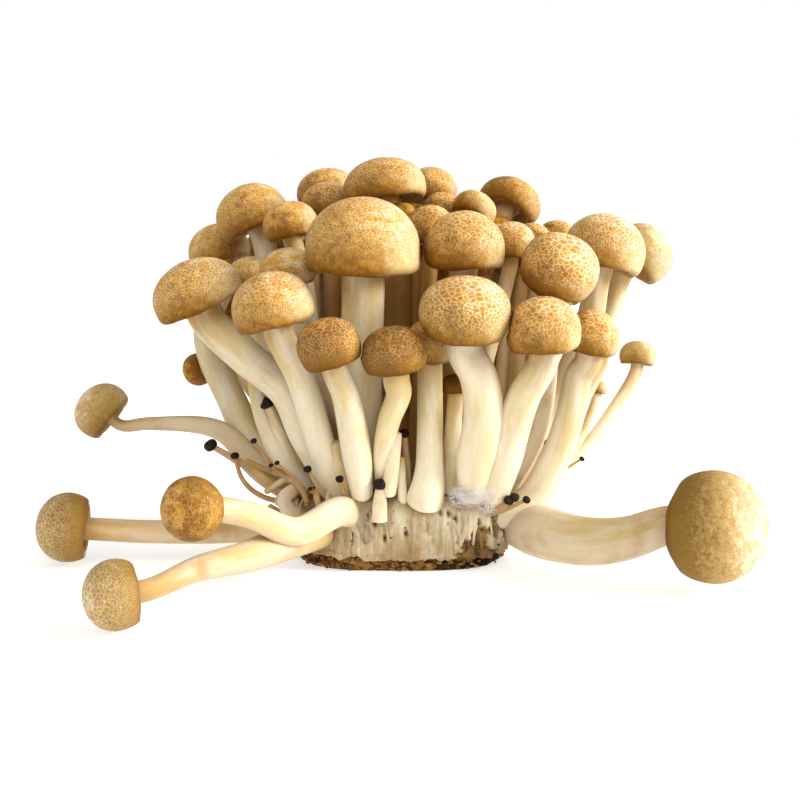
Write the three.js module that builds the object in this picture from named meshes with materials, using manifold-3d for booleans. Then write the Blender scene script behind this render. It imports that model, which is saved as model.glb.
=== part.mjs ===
// A cluster of brown beech mushrooms, grown together on one cut base. Millimetres, +Z up.
// The origin is the middle of the flat cut face that the cluster stands on, +X is its long side
// and -Y is its front.
import * as THREE from "three";
import * as BufferGeometryUtils from "three/addons/utils/BufferGeometryUtils.js";
import Module from "manifold-3d";

const wasm = await Module();
wasm.setup();

// ---------------------------------------------------------------- driving dimensions
const GAP = 0.35; // air kept between two pieces that touch

const FOOT_WIDE = 51.5; // cut slab of growing medium at the very bottom
const FOOT_DEEP = 52;
const FOOT_TALL = 4.6;
const FOOT_SIDES = 28;
const FOOT_WAVES = [[3, 0.015], [7, 0.012]]; // waves round its outline and how deep they are, as a share
const SQUARENESS = 3.2; // 2 is a plain oval outline, more is squarer with round corners

// The slab's worn edge, from below: [share of its width, height].
const FOOT_EDGE = [
  [0.985, 1.3],
  [1, 3.2],
];
const FOOT_CUT_SHARE = 0.95; // how wide the flat cut face is
const FOOT_TOP_SHARE = 0.99;

const CROWN_WIDE = 53; // pale root mass that every stem grows from
const CROWN_DEEP = 52.5;
const CROWN_TOP = 18.5;
const CROWN_SIDES = 36;
const CROWN_FURROW = 0.022; // depth of its upright furrows, as a share of its radius
const CROWN_SWELL = 0.015; // depth of the five broad swellings of its wall
const CROWN_LUMP = 0.04; // the same for the four lobes of its shoulder
const CROWN_BOTTOM_SHARE = 0.98;
const CROWN_WALL_TOP = CROWN_TOP - 6; // where the wall turns in to the shoulder

// The crown's shoulder above its wall: [share of its width, height].
const CROWN_SHOULDER = [
  [0.88, CROWN_TOP - 2.2],
  [0.55, CROWN_TOP - 0.5],
];

const SEAT_RISE = 0.2; // height of the flat seat under a cap, as a share of the cap's height
const SEAT_MARGIN = 0.5; // how much wider the seat is than the stem's neck
const GILL_REACH = 0.74; // outer end of the gills, as a share of the cap's radius
const GILL_EDGE = 0.05; // height of a gill's lower edge at its outer end, as a share of cap height
const GILL_GROOVE = 0.27; // height of the groove between two gills there
const LIP_REACH = 0.84; // middle of the rolled lip, as a share of the cap's radius
const CAP_SIDES = [[17, 14], [12.5, 10], [0, 8]]; // [wider than, sides] of a cap

// The dome from a cap's widest ring up to its crown: [share of radius, share of height].
const DOME = [
  [1.0, 0.33],
  [0.83, 0.69],
  [0.46, 0.92],
];

const STEM_BULGE = 1.28; // a stem's foot against its neck
const ROOT_DEPTH = 9; // height of the point, inside the crown, where a stem starts
const ROOT_SPREAD = 0.4; // a stem's root stands at this share of its cap's distance from the axis
const NECK_SHARE = 0.16; // a stem's neck radius as a share of its cap's width
const NECK_RUN = 0.45; // length over which a stem runs square to its seat, as a share of cap height
const ROOT_TAPER = 0.8; // a stem's end inside the crown, against its foot
const SLIM_FROM = 0.15; // share of a stem's length where it starts to slim
const STEM_STEP = 14; // length of one straight facet along a stem
const STEM_SIDES = [[2.85, 7], [0, 5]]; // [neck radius over, sides] of a stem

const RUNT_FOOT = 1.15; // a runt's radius at its root and at its tip, against the one in the list
const RUNT_TIP = 0.85;
const RUNT_SAG = 0.06; // how far its middle hangs below a straight line, as a share of its length
const RUNT_SIDES = 5;
const RUNT_STEPS = 2;
const THREAD_SHARE = 0.62; // a pinhead's thread against its head
const BUD_STRETCH = 1.25; // a bud's length against its width
const BUD_SIDES = 6;
const BUD_RINGS = 4;

const UP = new THREE.Vector3(0, 0, 1);

// ---------------------------------------------------------------- the mushrooms
// name, middle of the cap's rim, width across the rim, height, the way the cap faces, and where it
// matters the stem's neck radius, its root and the points that it passes through from root to cap.
// A cap that is pressed by another one yields to those before it in the list.
const MUSHROOMS = [
  { name: "front_1", rim: [-8.5, -22, 70], across: 27.5, tall: 17.5, facing: [0, -0.05, 1],
    neck: 5.1, bulge: 1.08, root: [-8, -11], via: [[-9.5, -17, 34], [-9, -20, 52]] },
  { name: "front_2", rim: [15, -18, 71.5], across: 19.5, tall: 13, facing: [0.03, -0.1, 1],
    neck: 3.3, root: [9, -8], via: [[13, -11, 42], [14.5, -14, 56]] },
  { name: "front_3", rim: [14.5, -35, 56], across: 21, tall: 13.5, facing: [0, -0.25, 1],
    neck: 3.9, bulge: 1.25, root: [16.5, -19], via: [[17.5, -27, 26], [19, -30.5, 37], [17.5, -33, 47]] },
  { name: "front_4", rim: [-14.5, -38, 50], across: 14.5, tall: 10.5, facing: [-0.28, -0.15, 1],
    neck: 3.1, bulge: 1.1, root: [-8, -20], via: [[-10, -29, 29], [-12, -34, 42]] },
  { name: "front_5", rim: [-1, -37, 48.5], across: 15, tall: 10, facing: [-0.08, -0.15, 1],
    neck: 3, bulge: 0.95, root: [-5, -20], via: [[-4, -28.5, 30], [-1.5, -34, 40]] },
  { name: "front_6", rim: [32, -36, 53.5], across: 17, tall: 11.5, facing: [-0.06, -0.2, 1],
    neck: 3.3, bulge: 1.1, root: [20, -19], via: [[24.5, -27, 29], [28, -32, 42]] },
  { name: "front_7", rim: [35.5, -20, 66.5], across: 19, tall: 13, facing: [0.35, -0.45, 1],
    neck: 2.7, root: [20, -9], via: [[32, -12, 30], [35, -12, 46], [34, -15, 58]] },
  { name: "front_8", rim: [-28, -30, 58.5], across: 19, tall: 12, facing: [-0.25, -0.15, 1],
    neck: 3.3, bulge: 1.1, root: [-12, -15], via: [[-18.5, -23, 30], [-23, -26, 46]] },
  { name: "front_9", rim: [7, -24, 49.5], across: 12, tall: 10, facing: [0, -0.05, 1],
    neck: 2.9, bulge: 1.4, root: [5.5, -21], via: [[6.5, -25, 20], [6.5, -24.5, 34]] },
  { name: "front_10", rim: [13, -21, 42], across: 7, tall: 4.5, facing: [0, 0, 1],
    neck: 1.9, bulge: 1.2, root: [11, -17], via: [] },

  { name: "left_1", rim: [-47, -14, 61.5], across: 22, tall: 12, facing: [-0.42, -0.1, 1],
    neck: 4.2, bulge: 1.05, root: [-9, -11], via: [[-22, -17, 31], [-27, -17, 42], [-37, -14.5, 50]] },
  { name: "left_2", rim: [-36.5, 14, 81], across: 19.5, tall: 12, facing: [-0.45, 0, 1],
    neck: 2.9, root: [-13, 4], via: [[-31, 7, 38], [-33, 10, 60]] },
  { name: "left_3", rim: [-26.5, -2, 78.5], across: 14, tall: 9, facing: [-0.2, 0, 1],
    neck: 2.4, root: [-11, 0], via: [[-22, 1, 52], [-24, 0.5, 68]] },
  { name: "left_4", rim: [-26.5, -11, 67.5], across: 14.5, tall: 8.5, facing: [-0.1, -0.1, 1],
    neck: 2.5, root: [-12, -7], via: [[-21, -9, 44]] },
  { name: "left_5", rim: [-37, 1, 66], across: 12, tall: 8, facing: [-0.2, 0, 1],
    neck: 2.2, root: [-12, -5], via: [[-27, -9, 22], [-33.5, -6.5, 35], [-36, -3, 50]] },
  { name: "left_6", rim: [-47.5, 26, 72], across: 17, tall: 11, facing: [-0.3, 0.15, 1],
    neck: 3.1, root: [-15, 6], via: [[-35, 5, 22], [-43, 9, 36], [-51, 17, 54]] },
  { name: "left_7", rim: [-51.5, 19, 45], across: 9, tall: 6.5, facing: [-0.8, 0.3, -0.3],
    neck: 1.5, root: [-16, 11], via: [[-33, 16, 30], [-43, 17, 43]] },

  { name: "right_1", rim: [49.5, -2, 71], across: 21, tall: 13.5, facing: [0.25, 0, 1],
    neck: 3.1, root: [16, -1], via: [[40, -1, 40], [47, -2, 58]] },
  { name: "right_2", rim: [60, 16, 71.5], across: 17, tall: 12, facing: [0.9, 0.1, 1],
    neck: 2.7, root: [17, 6], via: [[48, 12, 42], [54, 14, 58]] },
  { name: "right_3", rim: [44.5, -20, 51.5], across: 14, tall: 10, facing: [0.1, -0.1, 1],
    neck: 3.2, bulge: 1.15, root: [19, -14], via: [[36.5, -17, 25], [42.5, -18.5, 41]] },
  { name: "right_4", rim: [51.5, 4.5, 49.5], across: 8, tall: 6, facing: [0.1, 0, 1],
    neck: 1.6, root: [19, 2], via: [[43, 4, 32]] },
  { name: "right_5", rim: [63, 20, 45.5], across: 10, tall: 6.3, facing: [0.1, 0.1, 1],
    neck: 1.7, root: [18, 9], via: [[46, 15, 21], [57, 18, 34]] },
  { name: "right_6", rim: [52, 17, 38], across: 5.4, tall: 3.6, facing: [0.1, 0.1, 1],
    neck: 1.2, root: [19, 7], via: [[44, 13, 22]] },

  { name: "top_1", rim: [-3.5, 4, 87.5], across: 21, tall: 11, facing: [-0.12, 0.12, 1], neck: 3.3 },
  { name: "top_2", rim: [-19, 26, 87], across: 16.5, tall: 10.5, facing: [-0.15, 0.15, 1] },
  { name: "top_3", rim: [-18.5, 12, 84.5], across: 13, tall: 8.5, facing: [-0.1, 0, 1] },
  { name: "top_4", rim: [7.5, -3, 77.5], across: 12, tall: 9, facing: [0, -0.1, 1] },
  { name: "top_5", rim: [8, 22, 88.5], across: 14, tall: 9, facing: [0.05, 0.1, 1] },
  { name: "top_6", rim: [10.5, 12.5, 83], across: 10, tall: 7.5, facing: [0.1, 0, 1] },
  { name: "top_7", rim: [17.5, 4, 83.5], across: 11.5, tall: 7, facing: [0.55, 0.5, 1] },
  { name: "top_8", rim: [27.5, 22, 85], across: 17.5, tall: 10, facing: [0.45, 0.55, 1] },
  { name: "top_9", rim: [27.5, -2, 74], across: 11.5, tall: 8.5, facing: [0.1, -0.1, 1] },
  { name: "top_10", rim: [33.5, 9, 75.5], across: 10, tall: 7, facing: [0.1, 0, 1] },
  { name: "top_11", rim: [41, 20, 76.5], across: 10.5, tall: 7, facing: [0.2, 0.1, 1] },

  { name: "back_1", rim: [-33, 38, 73], across: 18, tall: 11.5, facing: [-0.35, 0.45, 1] },
  { name: "back_2", rim: [-14, 41, 79], across: 18.5, tall: 12, facing: [-0.15, 0.45, 1] },
  { name: "back_3", rim: [6, 41, 81], across: 20, tall: 12.5, facing: [0, 0.4, 1] },
  { name: "back_4", rim: [26, 40, 73.5], across: 18, tall: 11.5, facing: [0.2, 0.5, 1] },
  { name: "back_5", rim: [43, 33, 64], across: 15, tall: 10, facing: [0.5, 0.4, 1] },
  { name: "back_6", rim: [-46, 31, 56], across: 14, tall: 9.5, facing: [-0.6, 0.4, 1] },
  { name: "back_7", rim: [-24, 50, 59], across: 16, tall: 11, facing: [-0.3, 0.6, 1] },
  { name: "back_8", rim: [-5, 53, 63], across: 17, tall: 11.5, facing: [-0.1, 0.6, 1] },
  { name: "back_9", rim: [14, 53, 58], across: 15.5, tall: 10.5, facing: [0.15, 0.7, 1] },
  { name: "back_10", rim: [31, 47, 53], across: 14, tall: 9.5, facing: [0.4, 0.6, 1] },
  { name: "back_11", rim: [-38, 42, 44], across: 10, tall: 7.5, facing: [-0.5, 0.6, 1] },
  { name: "back_12", rim: [4, 55, 42], across: 11, tall: 8, facing: [0, 0.7, 1] },

  { name: "inner_1", rim: [-5.5, 23, 81.5], across: 12, tall: 8, facing: [0, 0, 1] },
  { name: "inner_2", rim: [24.5, 11, 75.5], across: 9.5, tall: 7, facing: [0, 0.1, 1] },
  { name: "inner_3", rim: [45, 13, 68.5], across: 11, tall: 7.5, facing: [0.2, 0, 1] },
  { name: "inner_4", rim: [-49, 6.5, 62.5], across: 12, tall: 8, facing: [-0.4, 0, 1] },
  { name: "inner_5", rim: [17.5, 31.5, 78], across: 10.5, tall: 7.5, facing: [0.1, 0.2, 1] },

  { name: "side_1", rim: [-73.5, 6, 32.5], across: 15, tall: 10, facing: [-0.77, 0, 0.64],
    neck: 1.5, bulge: 2.3, root: [-16, -1], via: [[-35, 1, 20], [-46, 3, 30], [-64, 5, 31.5]] },
  { name: "side_2", rim: [-75, -18, 8.9], across: 17.2, tall: 12, facing: [-1, -0.15, 0.1],
    neck: 2.6, bulge: 1.15, root: [-18, -8], via: [[-40, -14, 7.5], [-60, -16.5, 7.8]] },
  { name: "side_3", rim: [-40, -62, 22], across: 13.6, tall: 9.5, facing: [-0.6, -0.8, 0.15],
    neck: 2.6, bulge: 1.25, root: [-8, -14], via: [[-14, -28, 15], [-23, -39, 12.5], [-32, -51, 18.5]] },
  { name: "side_4", rim: [-52, -76, 8.2], across: 14.5, tall: 10, facing: [-1, -0.45, -0.05],
    neck: 2.2, bulge: 1.5, root: [-14, -13], via: [[-23, -31, 9.5], [-33, -48, 9], [-42, -62, 9.5]] },
  { name: "side_5", rim: [63.5, -42, 14.5], across: 25, tall: 18, facing: [0.75, -0.6, 0.1],
    neck: 4.1, bulge: 1.6, root: [22, -9], via: [[32.5, -23, 8.5], [43, -31, 8.5], [51, -36.5, 10.4]] },
];

// Stunted mushrooms that never opened: root, tip, radius and the radius of the dark head, if any.
const RUNTS = [
  { root: [-2, -21, 12], tip: [0.5, -27.5, 33], radius: 1.6 },
  { root: [-20, -8, 12], tip: [-32, -11, 38], radius: 1.6, head: 1.7 },
  { root: [-12, -19, 12], tip: [-15, -25, 31], radius: 1.9 },
  { root: [24, -4, 12], tip: [37, -8, 30], radius: 1.5, head: 0.9 },
  { root: [-8, 20, 12], tip: [-10, 28, 34], radius: 1.8, head: 1.7 },
  { root: [12, 19, 12], tip: [15, 29, 30], radius: 1.7 },
  { root: [0.5, -14, 12], tip: [0.6, -19.5, 34.5], radius: 0.9, head: 1.3 },
];

// Pinheads, the dark buds on thin threads: root, head and the head's radius.
const PINS = [
  { root: [-20, -2, 12], head: [-46, -5.5, 27.5], radius: 1.7 },
  { root: [-18, -4, 12], head: [-40.5, -7.5, 25], radius: 1.1 },
  { root: [-20, -10, 14], head: [-33.5, -12, 23.5], radius: 0.8 },
  { root: [-16, -16, 14], head: [-31, -18.5, 23], radius: 0.7 },
  { root: [-14, -18, 14], head: [-21.5, -25.5, 23.5], radius: 1 },
  { root: [-11, -19, 14], head: [-14, -27, 21.2], radius: 1 },
  { root: [-5, -20, 14], head: [-4.6, -28.5, 20.5], radius: 1.6 },
  { root: [20, -18, 12], head: [25.2, -25.5, 17.5], radius: 1.4 },
  { root: [22, -16, 12], head: [29.5, -23.5, 16.8], radius: 0.9 },
  { root: [26, 4, 14], head: [46.5, 4, 26.5], radius: 0.8 },
  { root: [12, 14, 12], head: [22, 26, 23], radius: 1.3 },
  { root: [-2, 20, 14], head: [2, 29, 21], radius: 1.2 },
  { root: [-14, 12, 12], head: [-26, 22, 23], radius: 1.4 },
];

// ---------------------------------------------------------------- ways of making a closed skin
// Joins rings of points, from the lowest up, into one closed geometry. The first and last ring are
// single points, and a ring has as many points as its neighbour, or twice or half as many.
function skinOver(rings) {
  const points = [];
  const starts = rings.map((ring) => {
    const start = points.length;
    points.push(...ring);
    return start;
  });
  const faces = [];
  for (let r = 0; r + 1 < rings.length; r += 1) {
    const [near, far] = [rings[r].length, rings[r + 1].length];
    const count = Math.max(near, far);
    for (let k = 0; k < count; k += 1) {
      const a = starts[r] + Math.floor((k * near) / count);
      const b = starts[r] + (Math.floor(((k + 1) * near) / count) % near);
      const c = starts[r + 1] + Math.floor((k * far) / count);
      const d = starts[r + 1] + (Math.floor(((k + 1) * far) / count) % far);
      if (a !== b) faces.push([a, b, d]);
      if (c !== d) faces.push([a, d, c]);
    }
  }
  const geometry = new THREE.BufferGeometry().setFromPoints(points);
  geometry.setIndex(faces.flat());
  return geometry;
}

// A level ring round the Z axis. bend(angle, k) gives [radius factor, extra height] where it varies.
function levelRing(count, wide, deep, height, bend = () => [1, 0]) {
  return Array.from({ length: count }, (_, k) => {
    const angle = (k / count) * 2 * Math.PI;
    const [factor, lift] = bend(angle, k);
    const x = (wide / 2) * factor * Math.cos(angle);
    const y = (deep / 2) * factor * Math.sin(angle);
    return new THREE.Vector3(x, y, height + lift);
  });
}

const pole = (height) => [new THREE.Vector3(0, 0, height)];

// A geometry as a solid that can be joined and cut.
function solidOf(geometry) {
  const bare = geometry.clone();
  bare.deleteAttribute("normal");
  bare.deleteAttribute("uv");
  const merged = BufferGeometryUtils.mergeVertices(bare, 1e-4);
  const mesh = new wasm.Mesh({
    numProp: 3,
    vertProperties: new Float32Array(merged.attributes.position.array),
    triVerts: new Uint32Array(merged.index.array),
  });
  return new wasm.Manifold(mesh);
}

function geometryOf(solid) {
  const mesh = solid.getMesh();
  const geometry = new THREE.BufferGeometry();
  geometry.setAttribute("position", new THREE.BufferAttribute(new Float32Array(mesh.vertProperties), 3));
  geometry.setIndex(new THREE.BufferAttribute(new Uint32Array(mesh.triVerts), 1));
  geometry.computeVertexNormals();
  return geometry;
}

const vector = (triple) => new THREE.Vector3(...triple);

// How many sides a piece of that size has, from a list of [larger than, sides].
const sidesFor = (size, steps) => steps.find(([above]) => size > above)[1];

const joined = (solids) => solids.reduce((sum, solid) => sum.add(solid));

// ---------------------------------------------------------------- base
// How much further out a square with round corners reaches than an oval, at an angle.
function squared(angle) {
  const sum = Math.abs(Math.cos(angle)) ** SQUARENESS + Math.abs(Math.sin(angle)) ** SQUARENESS;
  return sum ** (-1 / SQUARENESS);
}

// The slab of growing medium: flat below, with a worn lower edge and a wavy outline. grow makes the
// larger copy that cuts clear air into what touches it.
function footGeometry(grow = 0) {
  const wavy = (angle) => {
    const waves = FOOT_WAVES.map(([count, depth], k) => depth * Math.sin(count * angle + 1 - k));
    return [squared(angle) * waves.reduce((sum, wave) => sum + wave, 1), 0];
  };
  const ring = (share, height) => {
    return levelRing(FOOT_SIDES, FOOT_WIDE * share + 2 * grow, FOOT_DEEP * share + 2 * grow, height, wavy);
  };
  return skinOver([
    pole(-grow),
    ring(FOOT_CUT_SHARE, -grow),
    ...FOOT_EDGE.map(([share, height]) => ring(share, height)),
    ring(FOOT_TOP_SHARE, FOOT_TALL + grow),
    pole(FOOT_TALL + grow),
  ]);
}

// The root mass: upright furrows all round, and a low uneven top from which the stems rise.
function crownGeometry() {
  const furrowed = (angle, k) => {
    const furrow = CROWN_FURROW * (k % 2 ? -1 : 1);
    return [squared(angle) * (1 + furrow + CROWN_SWELL * Math.sin(5 * angle)), 0];
  };
  const lumpy = (angle) => {
    return [squared(angle) * (1 + CROWN_LUMP * Math.sin(4 * angle + 2)), Math.sin(3 * angle)];
  };
  const ring = (sides, share, height, bend) => {
    return levelRing(sides, CROWN_WIDE * share, CROWN_DEEP * share, height, bend);
  };
  const bottom = FOOT_TALL + GAP;
  return skinOver([
    pole(bottom),
    ring(CROWN_SIDES, CROWN_BOTTOM_SHARE, bottom, furrowed),
    ring(CROWN_SIDES, 1, CROWN_WALL_TOP, furrowed),
    ...CROWN_SHOULDER.map(([share, height], k) => ring(CROWN_SIDES / (k + 1), share, height, lumpy)),
    pole(CROWN_TOP),
  ]);
}

// ---------------------------------------------------------------- caps
// A cap in its own frame: the rim's middle at the origin and the dome along +Z. Its underside has
// gills as radial ridges, which end at a flat seat for the stem. grow makes the larger copy that cuts
// clear air, and its lip is as much thicker.
function capGeometry({ across, tall, neck }, grow = 0) {
  const sides = sidesFor(across, CAP_SIDES);
  const width = across + 2 * grow;
  const height = (share) => share * (tall + 2 * grow) - grow;
  const gill = (angle, k) => [1, (k % 2 ? GILL_GROOVE : GILL_EDGE) * tall];
  const seat = 2 * (neck + SEAT_MARGIN);
  const seatHeight = SEAT_RISE * tall - grow;
  const lip = across * LIP_REACH;
  const innerLip = grow ? [levelRing(sides, lip - 2 * grow, lip - 2 * grow, -grow)] : [];
  return skinOver([
    pole(seatHeight),
    levelRing(sides, seat, seat, seatHeight),
    levelRing(2 * sides, across * GILL_REACH, across * GILL_REACH, -grow, gill),
    ...innerLip,
    levelRing(sides, lip + 2 * grow, lip + 2 * grow, -grow),
    ...DOME.map(([reach, rise]) => levelRing(sides, width * reach, width * reach, height(rise))),
    pole(height(1)),
  ]);
}

// Stands a geometry that was made along +Z at a place, facing the way given.
function stand(geometry, place, facing) {
  const turn = new THREE.Quaternion().setFromUnitVectors(UP, vector(facing).normalize());
  return geometry.applyQuaternion(turn).translate(...place);
}

const capSolid = (mushroom, grow) => {
  return solidOf(stand(capGeometry(mushroom, grow), mushroom.rim, mushroom.facing));
};

// ---------------------------------------------------------------- stems
// A round, tapering skin along a curve. radiusAt gives its radius from 0 at the start to 1 at the end.
function taperAlong(curve, radiusAt, sides, steps) {
  const frames = curve.computeFrenetFrames(steps, false);
  const rings = Array.from({ length: steps + 1 }, (_, s) => {
    const middle = curve.getPointAt(s / steps);
    const radius = radiusAt(s / steps);
    return Array.from({ length: sides }, (_unused, k) => {
      const angle = (k / sides) * 2 * Math.PI;
      return middle
        .clone()
        .addScaledVector(frames.normals[s], radius * Math.cos(angle))
        .addScaledVector(frames.binormals[s], radius * Math.sin(angle));
    });
  });
  return skinOver([[curve.getPointAt(0)], ...rings, [curve.getPointAt(1)]]);
}

// The middle line of a stem: up out of its root, through its points, and square into its cap's seat.
function stemCurve({ rim, facing, tall, root, via }) {
  const along = vector(facing).normalize();
  const seat = vector(rim).addScaledVector(along, SEAT_RISE * tall);
  const below = seat.clone().addScaledVector(along, -NECK_RUN * tall);
  const start = new THREE.Vector3(root[0], root[1], ROOT_DEPTH);
  return new THREE.CatmullRomCurve3([start, ...via.map(vector), below, seat]);
}

// A stem is thickest a little above its root and slims to its neck.
function stemSolid(mushroom) {
  const { neck, bulge } = mushroom;
  const curve = stemCurve(mushroom);
  const radiusAt = (t) => {
    const run = Math.min(1, Math.max(0, (t - SLIM_FROM) / (1 - SLIM_FROM)));
    const slim = 0.5 - 0.5 * Math.cos(Math.PI * run);
    return neck * (bulge + (1 - bulge) * slim) * (t === 0 ? ROOT_TAPER : 1);
  };
  const steps = Math.round(curve.getLength() / STEM_STEP);
  return solidOf(taperAlong(curve, radiusAt, sidesFor(neck, STEM_SIDES), steps));
}

// ---------------------------------------------------------------- runts and pinheads
function budSolid(middle, radius, along) {
  const ball = new THREE.SphereGeometry(radius, BUD_SIDES, BUD_RINGS).rotateX(Math.PI / 2);
  return solidOf(stand(ball.scale(1, 1, BUD_STRETCH), middle.toArray(), along.toArray()));
}

function runtSolid({ root, tip, radius, head }) {
  const [from, to] = [vector(root), vector(tip)];
  const middle = from.clone().lerp(to, 0.5).addScaledVector(UP, -RUNT_SAG * from.distanceTo(to));
  const curve = new THREE.CatmullRomCurve3([from, middle, to]);
  const radiusAt = (t) => radius * (RUNT_FOOT + (RUNT_TIP - RUNT_FOOT) * t * t);
  const stalk = solidOf(taperAlong(curve, radiusAt, RUNT_SIDES, RUNT_STEPS));
  return head ? stalk.add(budSolid(to, head, to.clone().sub(from))) : stalk;
}

const pinSolid = ({ root, head, radius }) => {
  return runtSolid({ root, tip: head, radius: THREAD_SHARE * radius, head: radius });
};

// ---------------------------------------------------------------- the cluster
const completed = MUSHROOMS.map((mushroom) => ({
  neck: NECK_SHARE * mushroom.across,
  bulge: STEM_BULGE,
  root: mushroom.rim.slice(0, 2).map((value) => value * ROOT_SPREAD),
  via: [],
  ...mushroom,
}));

// Each cap, pressed in where an earlier neighbour touches it.
const clearCaps = completed.map((mushroom) => capSolid(mushroom, GAP));
const caps = completed.map((mushroom, index) => {
  const earlier = clearCaps.slice(0, index);
  return earlier.reduce((cap, neighbour) => cap.subtract(neighbour), capSolid(mushroom));
});

// All that is pale and grown together: the crown, the stems, the runts and the pinheads, cut clear of
// the caps above and of the block below.
const stemCluster = joined([
  solidOf(crownGeometry()),
  ...completed.map(stemSolid),
  ...RUNTS.map(runtSolid),
  ...PINS.map(pinSolid),
])
  .subtract(joined(clearCaps))
  .subtract(solidOf(footGeometry(GAP)));

const finishes = {
  cap: new THREE.MeshStandardMaterial({ color: 0xb9853f, roughness: 0.62, metalness: 0 }),
  stem: new THREE.MeshStandardMaterial({ color: 0xefe3c8, roughness: 0.7, metalness: 0 }),
  substrate: new THREE.MeshStandardMaterial({ color: 0x5a3c20, roughness: 0.95, metalness: 0 }),
};

function nodeOf(name, geometry, finish) {
  const mesh = new THREE.Mesh(geometry, finish);
  mesh.name = name;
  return mesh;
}

const mushroomCluster = new THREE.Group();
mushroomCluster.name = "beech_mushroom_cluster";
mushroomCluster.add(nodeOf("substrate_foot", footGeometry(), finishes.substrate));
mushroomCluster.add(nodeOf("stem_cluster", geometryOf(stemCluster), finishes.stem));
completed.forEach(({ name }, index) => {
  mushroomCluster.add(nodeOf(`cap_${name}`, geometryOf(caps[index]), finishes.cap));
});

export default mushroomCluster;
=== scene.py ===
import math
import random

import bmesh
import bpy
import numpy as np
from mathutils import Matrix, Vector, noise


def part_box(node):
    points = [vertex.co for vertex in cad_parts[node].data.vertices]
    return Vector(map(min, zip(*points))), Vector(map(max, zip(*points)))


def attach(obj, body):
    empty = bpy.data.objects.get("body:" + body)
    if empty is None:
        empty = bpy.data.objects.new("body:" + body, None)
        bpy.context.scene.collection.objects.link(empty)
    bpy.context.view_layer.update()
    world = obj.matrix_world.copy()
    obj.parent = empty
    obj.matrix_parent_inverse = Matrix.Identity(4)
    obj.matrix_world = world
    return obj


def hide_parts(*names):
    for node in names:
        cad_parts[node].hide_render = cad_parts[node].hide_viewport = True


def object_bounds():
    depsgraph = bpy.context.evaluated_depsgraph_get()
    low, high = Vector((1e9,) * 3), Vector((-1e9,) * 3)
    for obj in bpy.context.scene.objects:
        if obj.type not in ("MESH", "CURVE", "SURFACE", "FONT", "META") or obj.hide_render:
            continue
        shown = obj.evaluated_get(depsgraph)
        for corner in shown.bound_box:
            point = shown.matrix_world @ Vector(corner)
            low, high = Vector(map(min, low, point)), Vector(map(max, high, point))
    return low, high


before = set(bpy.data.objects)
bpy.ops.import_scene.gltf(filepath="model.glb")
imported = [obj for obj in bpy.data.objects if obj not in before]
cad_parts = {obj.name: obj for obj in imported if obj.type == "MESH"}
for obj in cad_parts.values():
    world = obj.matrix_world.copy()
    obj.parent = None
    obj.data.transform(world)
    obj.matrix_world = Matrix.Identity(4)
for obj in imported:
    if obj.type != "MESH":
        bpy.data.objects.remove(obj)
cad_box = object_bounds()

MM = 0.001
BODY = "root"
UP = Vector((0, 0, 1))
TURN = 2 * math.pi

# ---------------------------------------------------------------- what the plain solids are made to
SEAT_RISE = 0.2  # height of a cap's flat seat, as a share of the cap's height
SEAT_MARGIN = 0.5 * MM  # how much wider the seat is than the stem's neck
ROOT_DEPTH = 9 * MM  # height of the point, inside the root mass, where a stem starts
ROOT_SPREAD = 0.4  # where no root is given: its share of the cap's distance from the middle
STEM_BULGE = 1.28  # a stem's foot against its neck
SQUARENESS = 3.2  # outline of the base: 2 is an oval, more is squarer with round corners
CROWN_TOP = 18.5 * MM  # height of the root mass
CROWN_OVER_FOOT = 1.025  # the root mass's width against the foot's
PRESS_GAP = 0.15 * MM  # air left where two caps press on each other
PRESS_HALVINGS = 14  # how often the way to that place is halved to find it
EDGE_ROOM = 0.05 * MM  # how far inside the solids' box every cap stays

LENS, SENSOR = 58.5, 36  # of the camera, in mm
CAMERA_PLACE = (0, -0.325, 0.0718)
CAMERA_DIP = 5.93  # degrees that the camera looks down
SKY_TOWARDS = (0.42, 0.7, 0.45)  # where the studio is brightest: behind and to the right
SKY_LIGHT = (0.3, 0.63)  # the light that the studio sheds from its dark side and from its bright one
LAMPS = (  # name, the way to it, strength, softness in degrees and colour
    ("key", (0.94, -0.22, 0.4), 4.2, 26, (1.0, 0.98, 0.93)),
    ("front", (-0.05, -0.8, 0.6), 1.15, 45, (1.0, 0.98, 0.94)),
)

# The caps, by the side of the cluster that they are on. One that is pressed yields to those before it.
REGIONS = {"front": 10, "left": 7, "right": 6, "top": 11, "back": 12, "inner": 5, "side": 5}
NAMES = [f"{region}_{number + 1}" for region, count in REGIONS.items() for number in range(count)]

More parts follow.
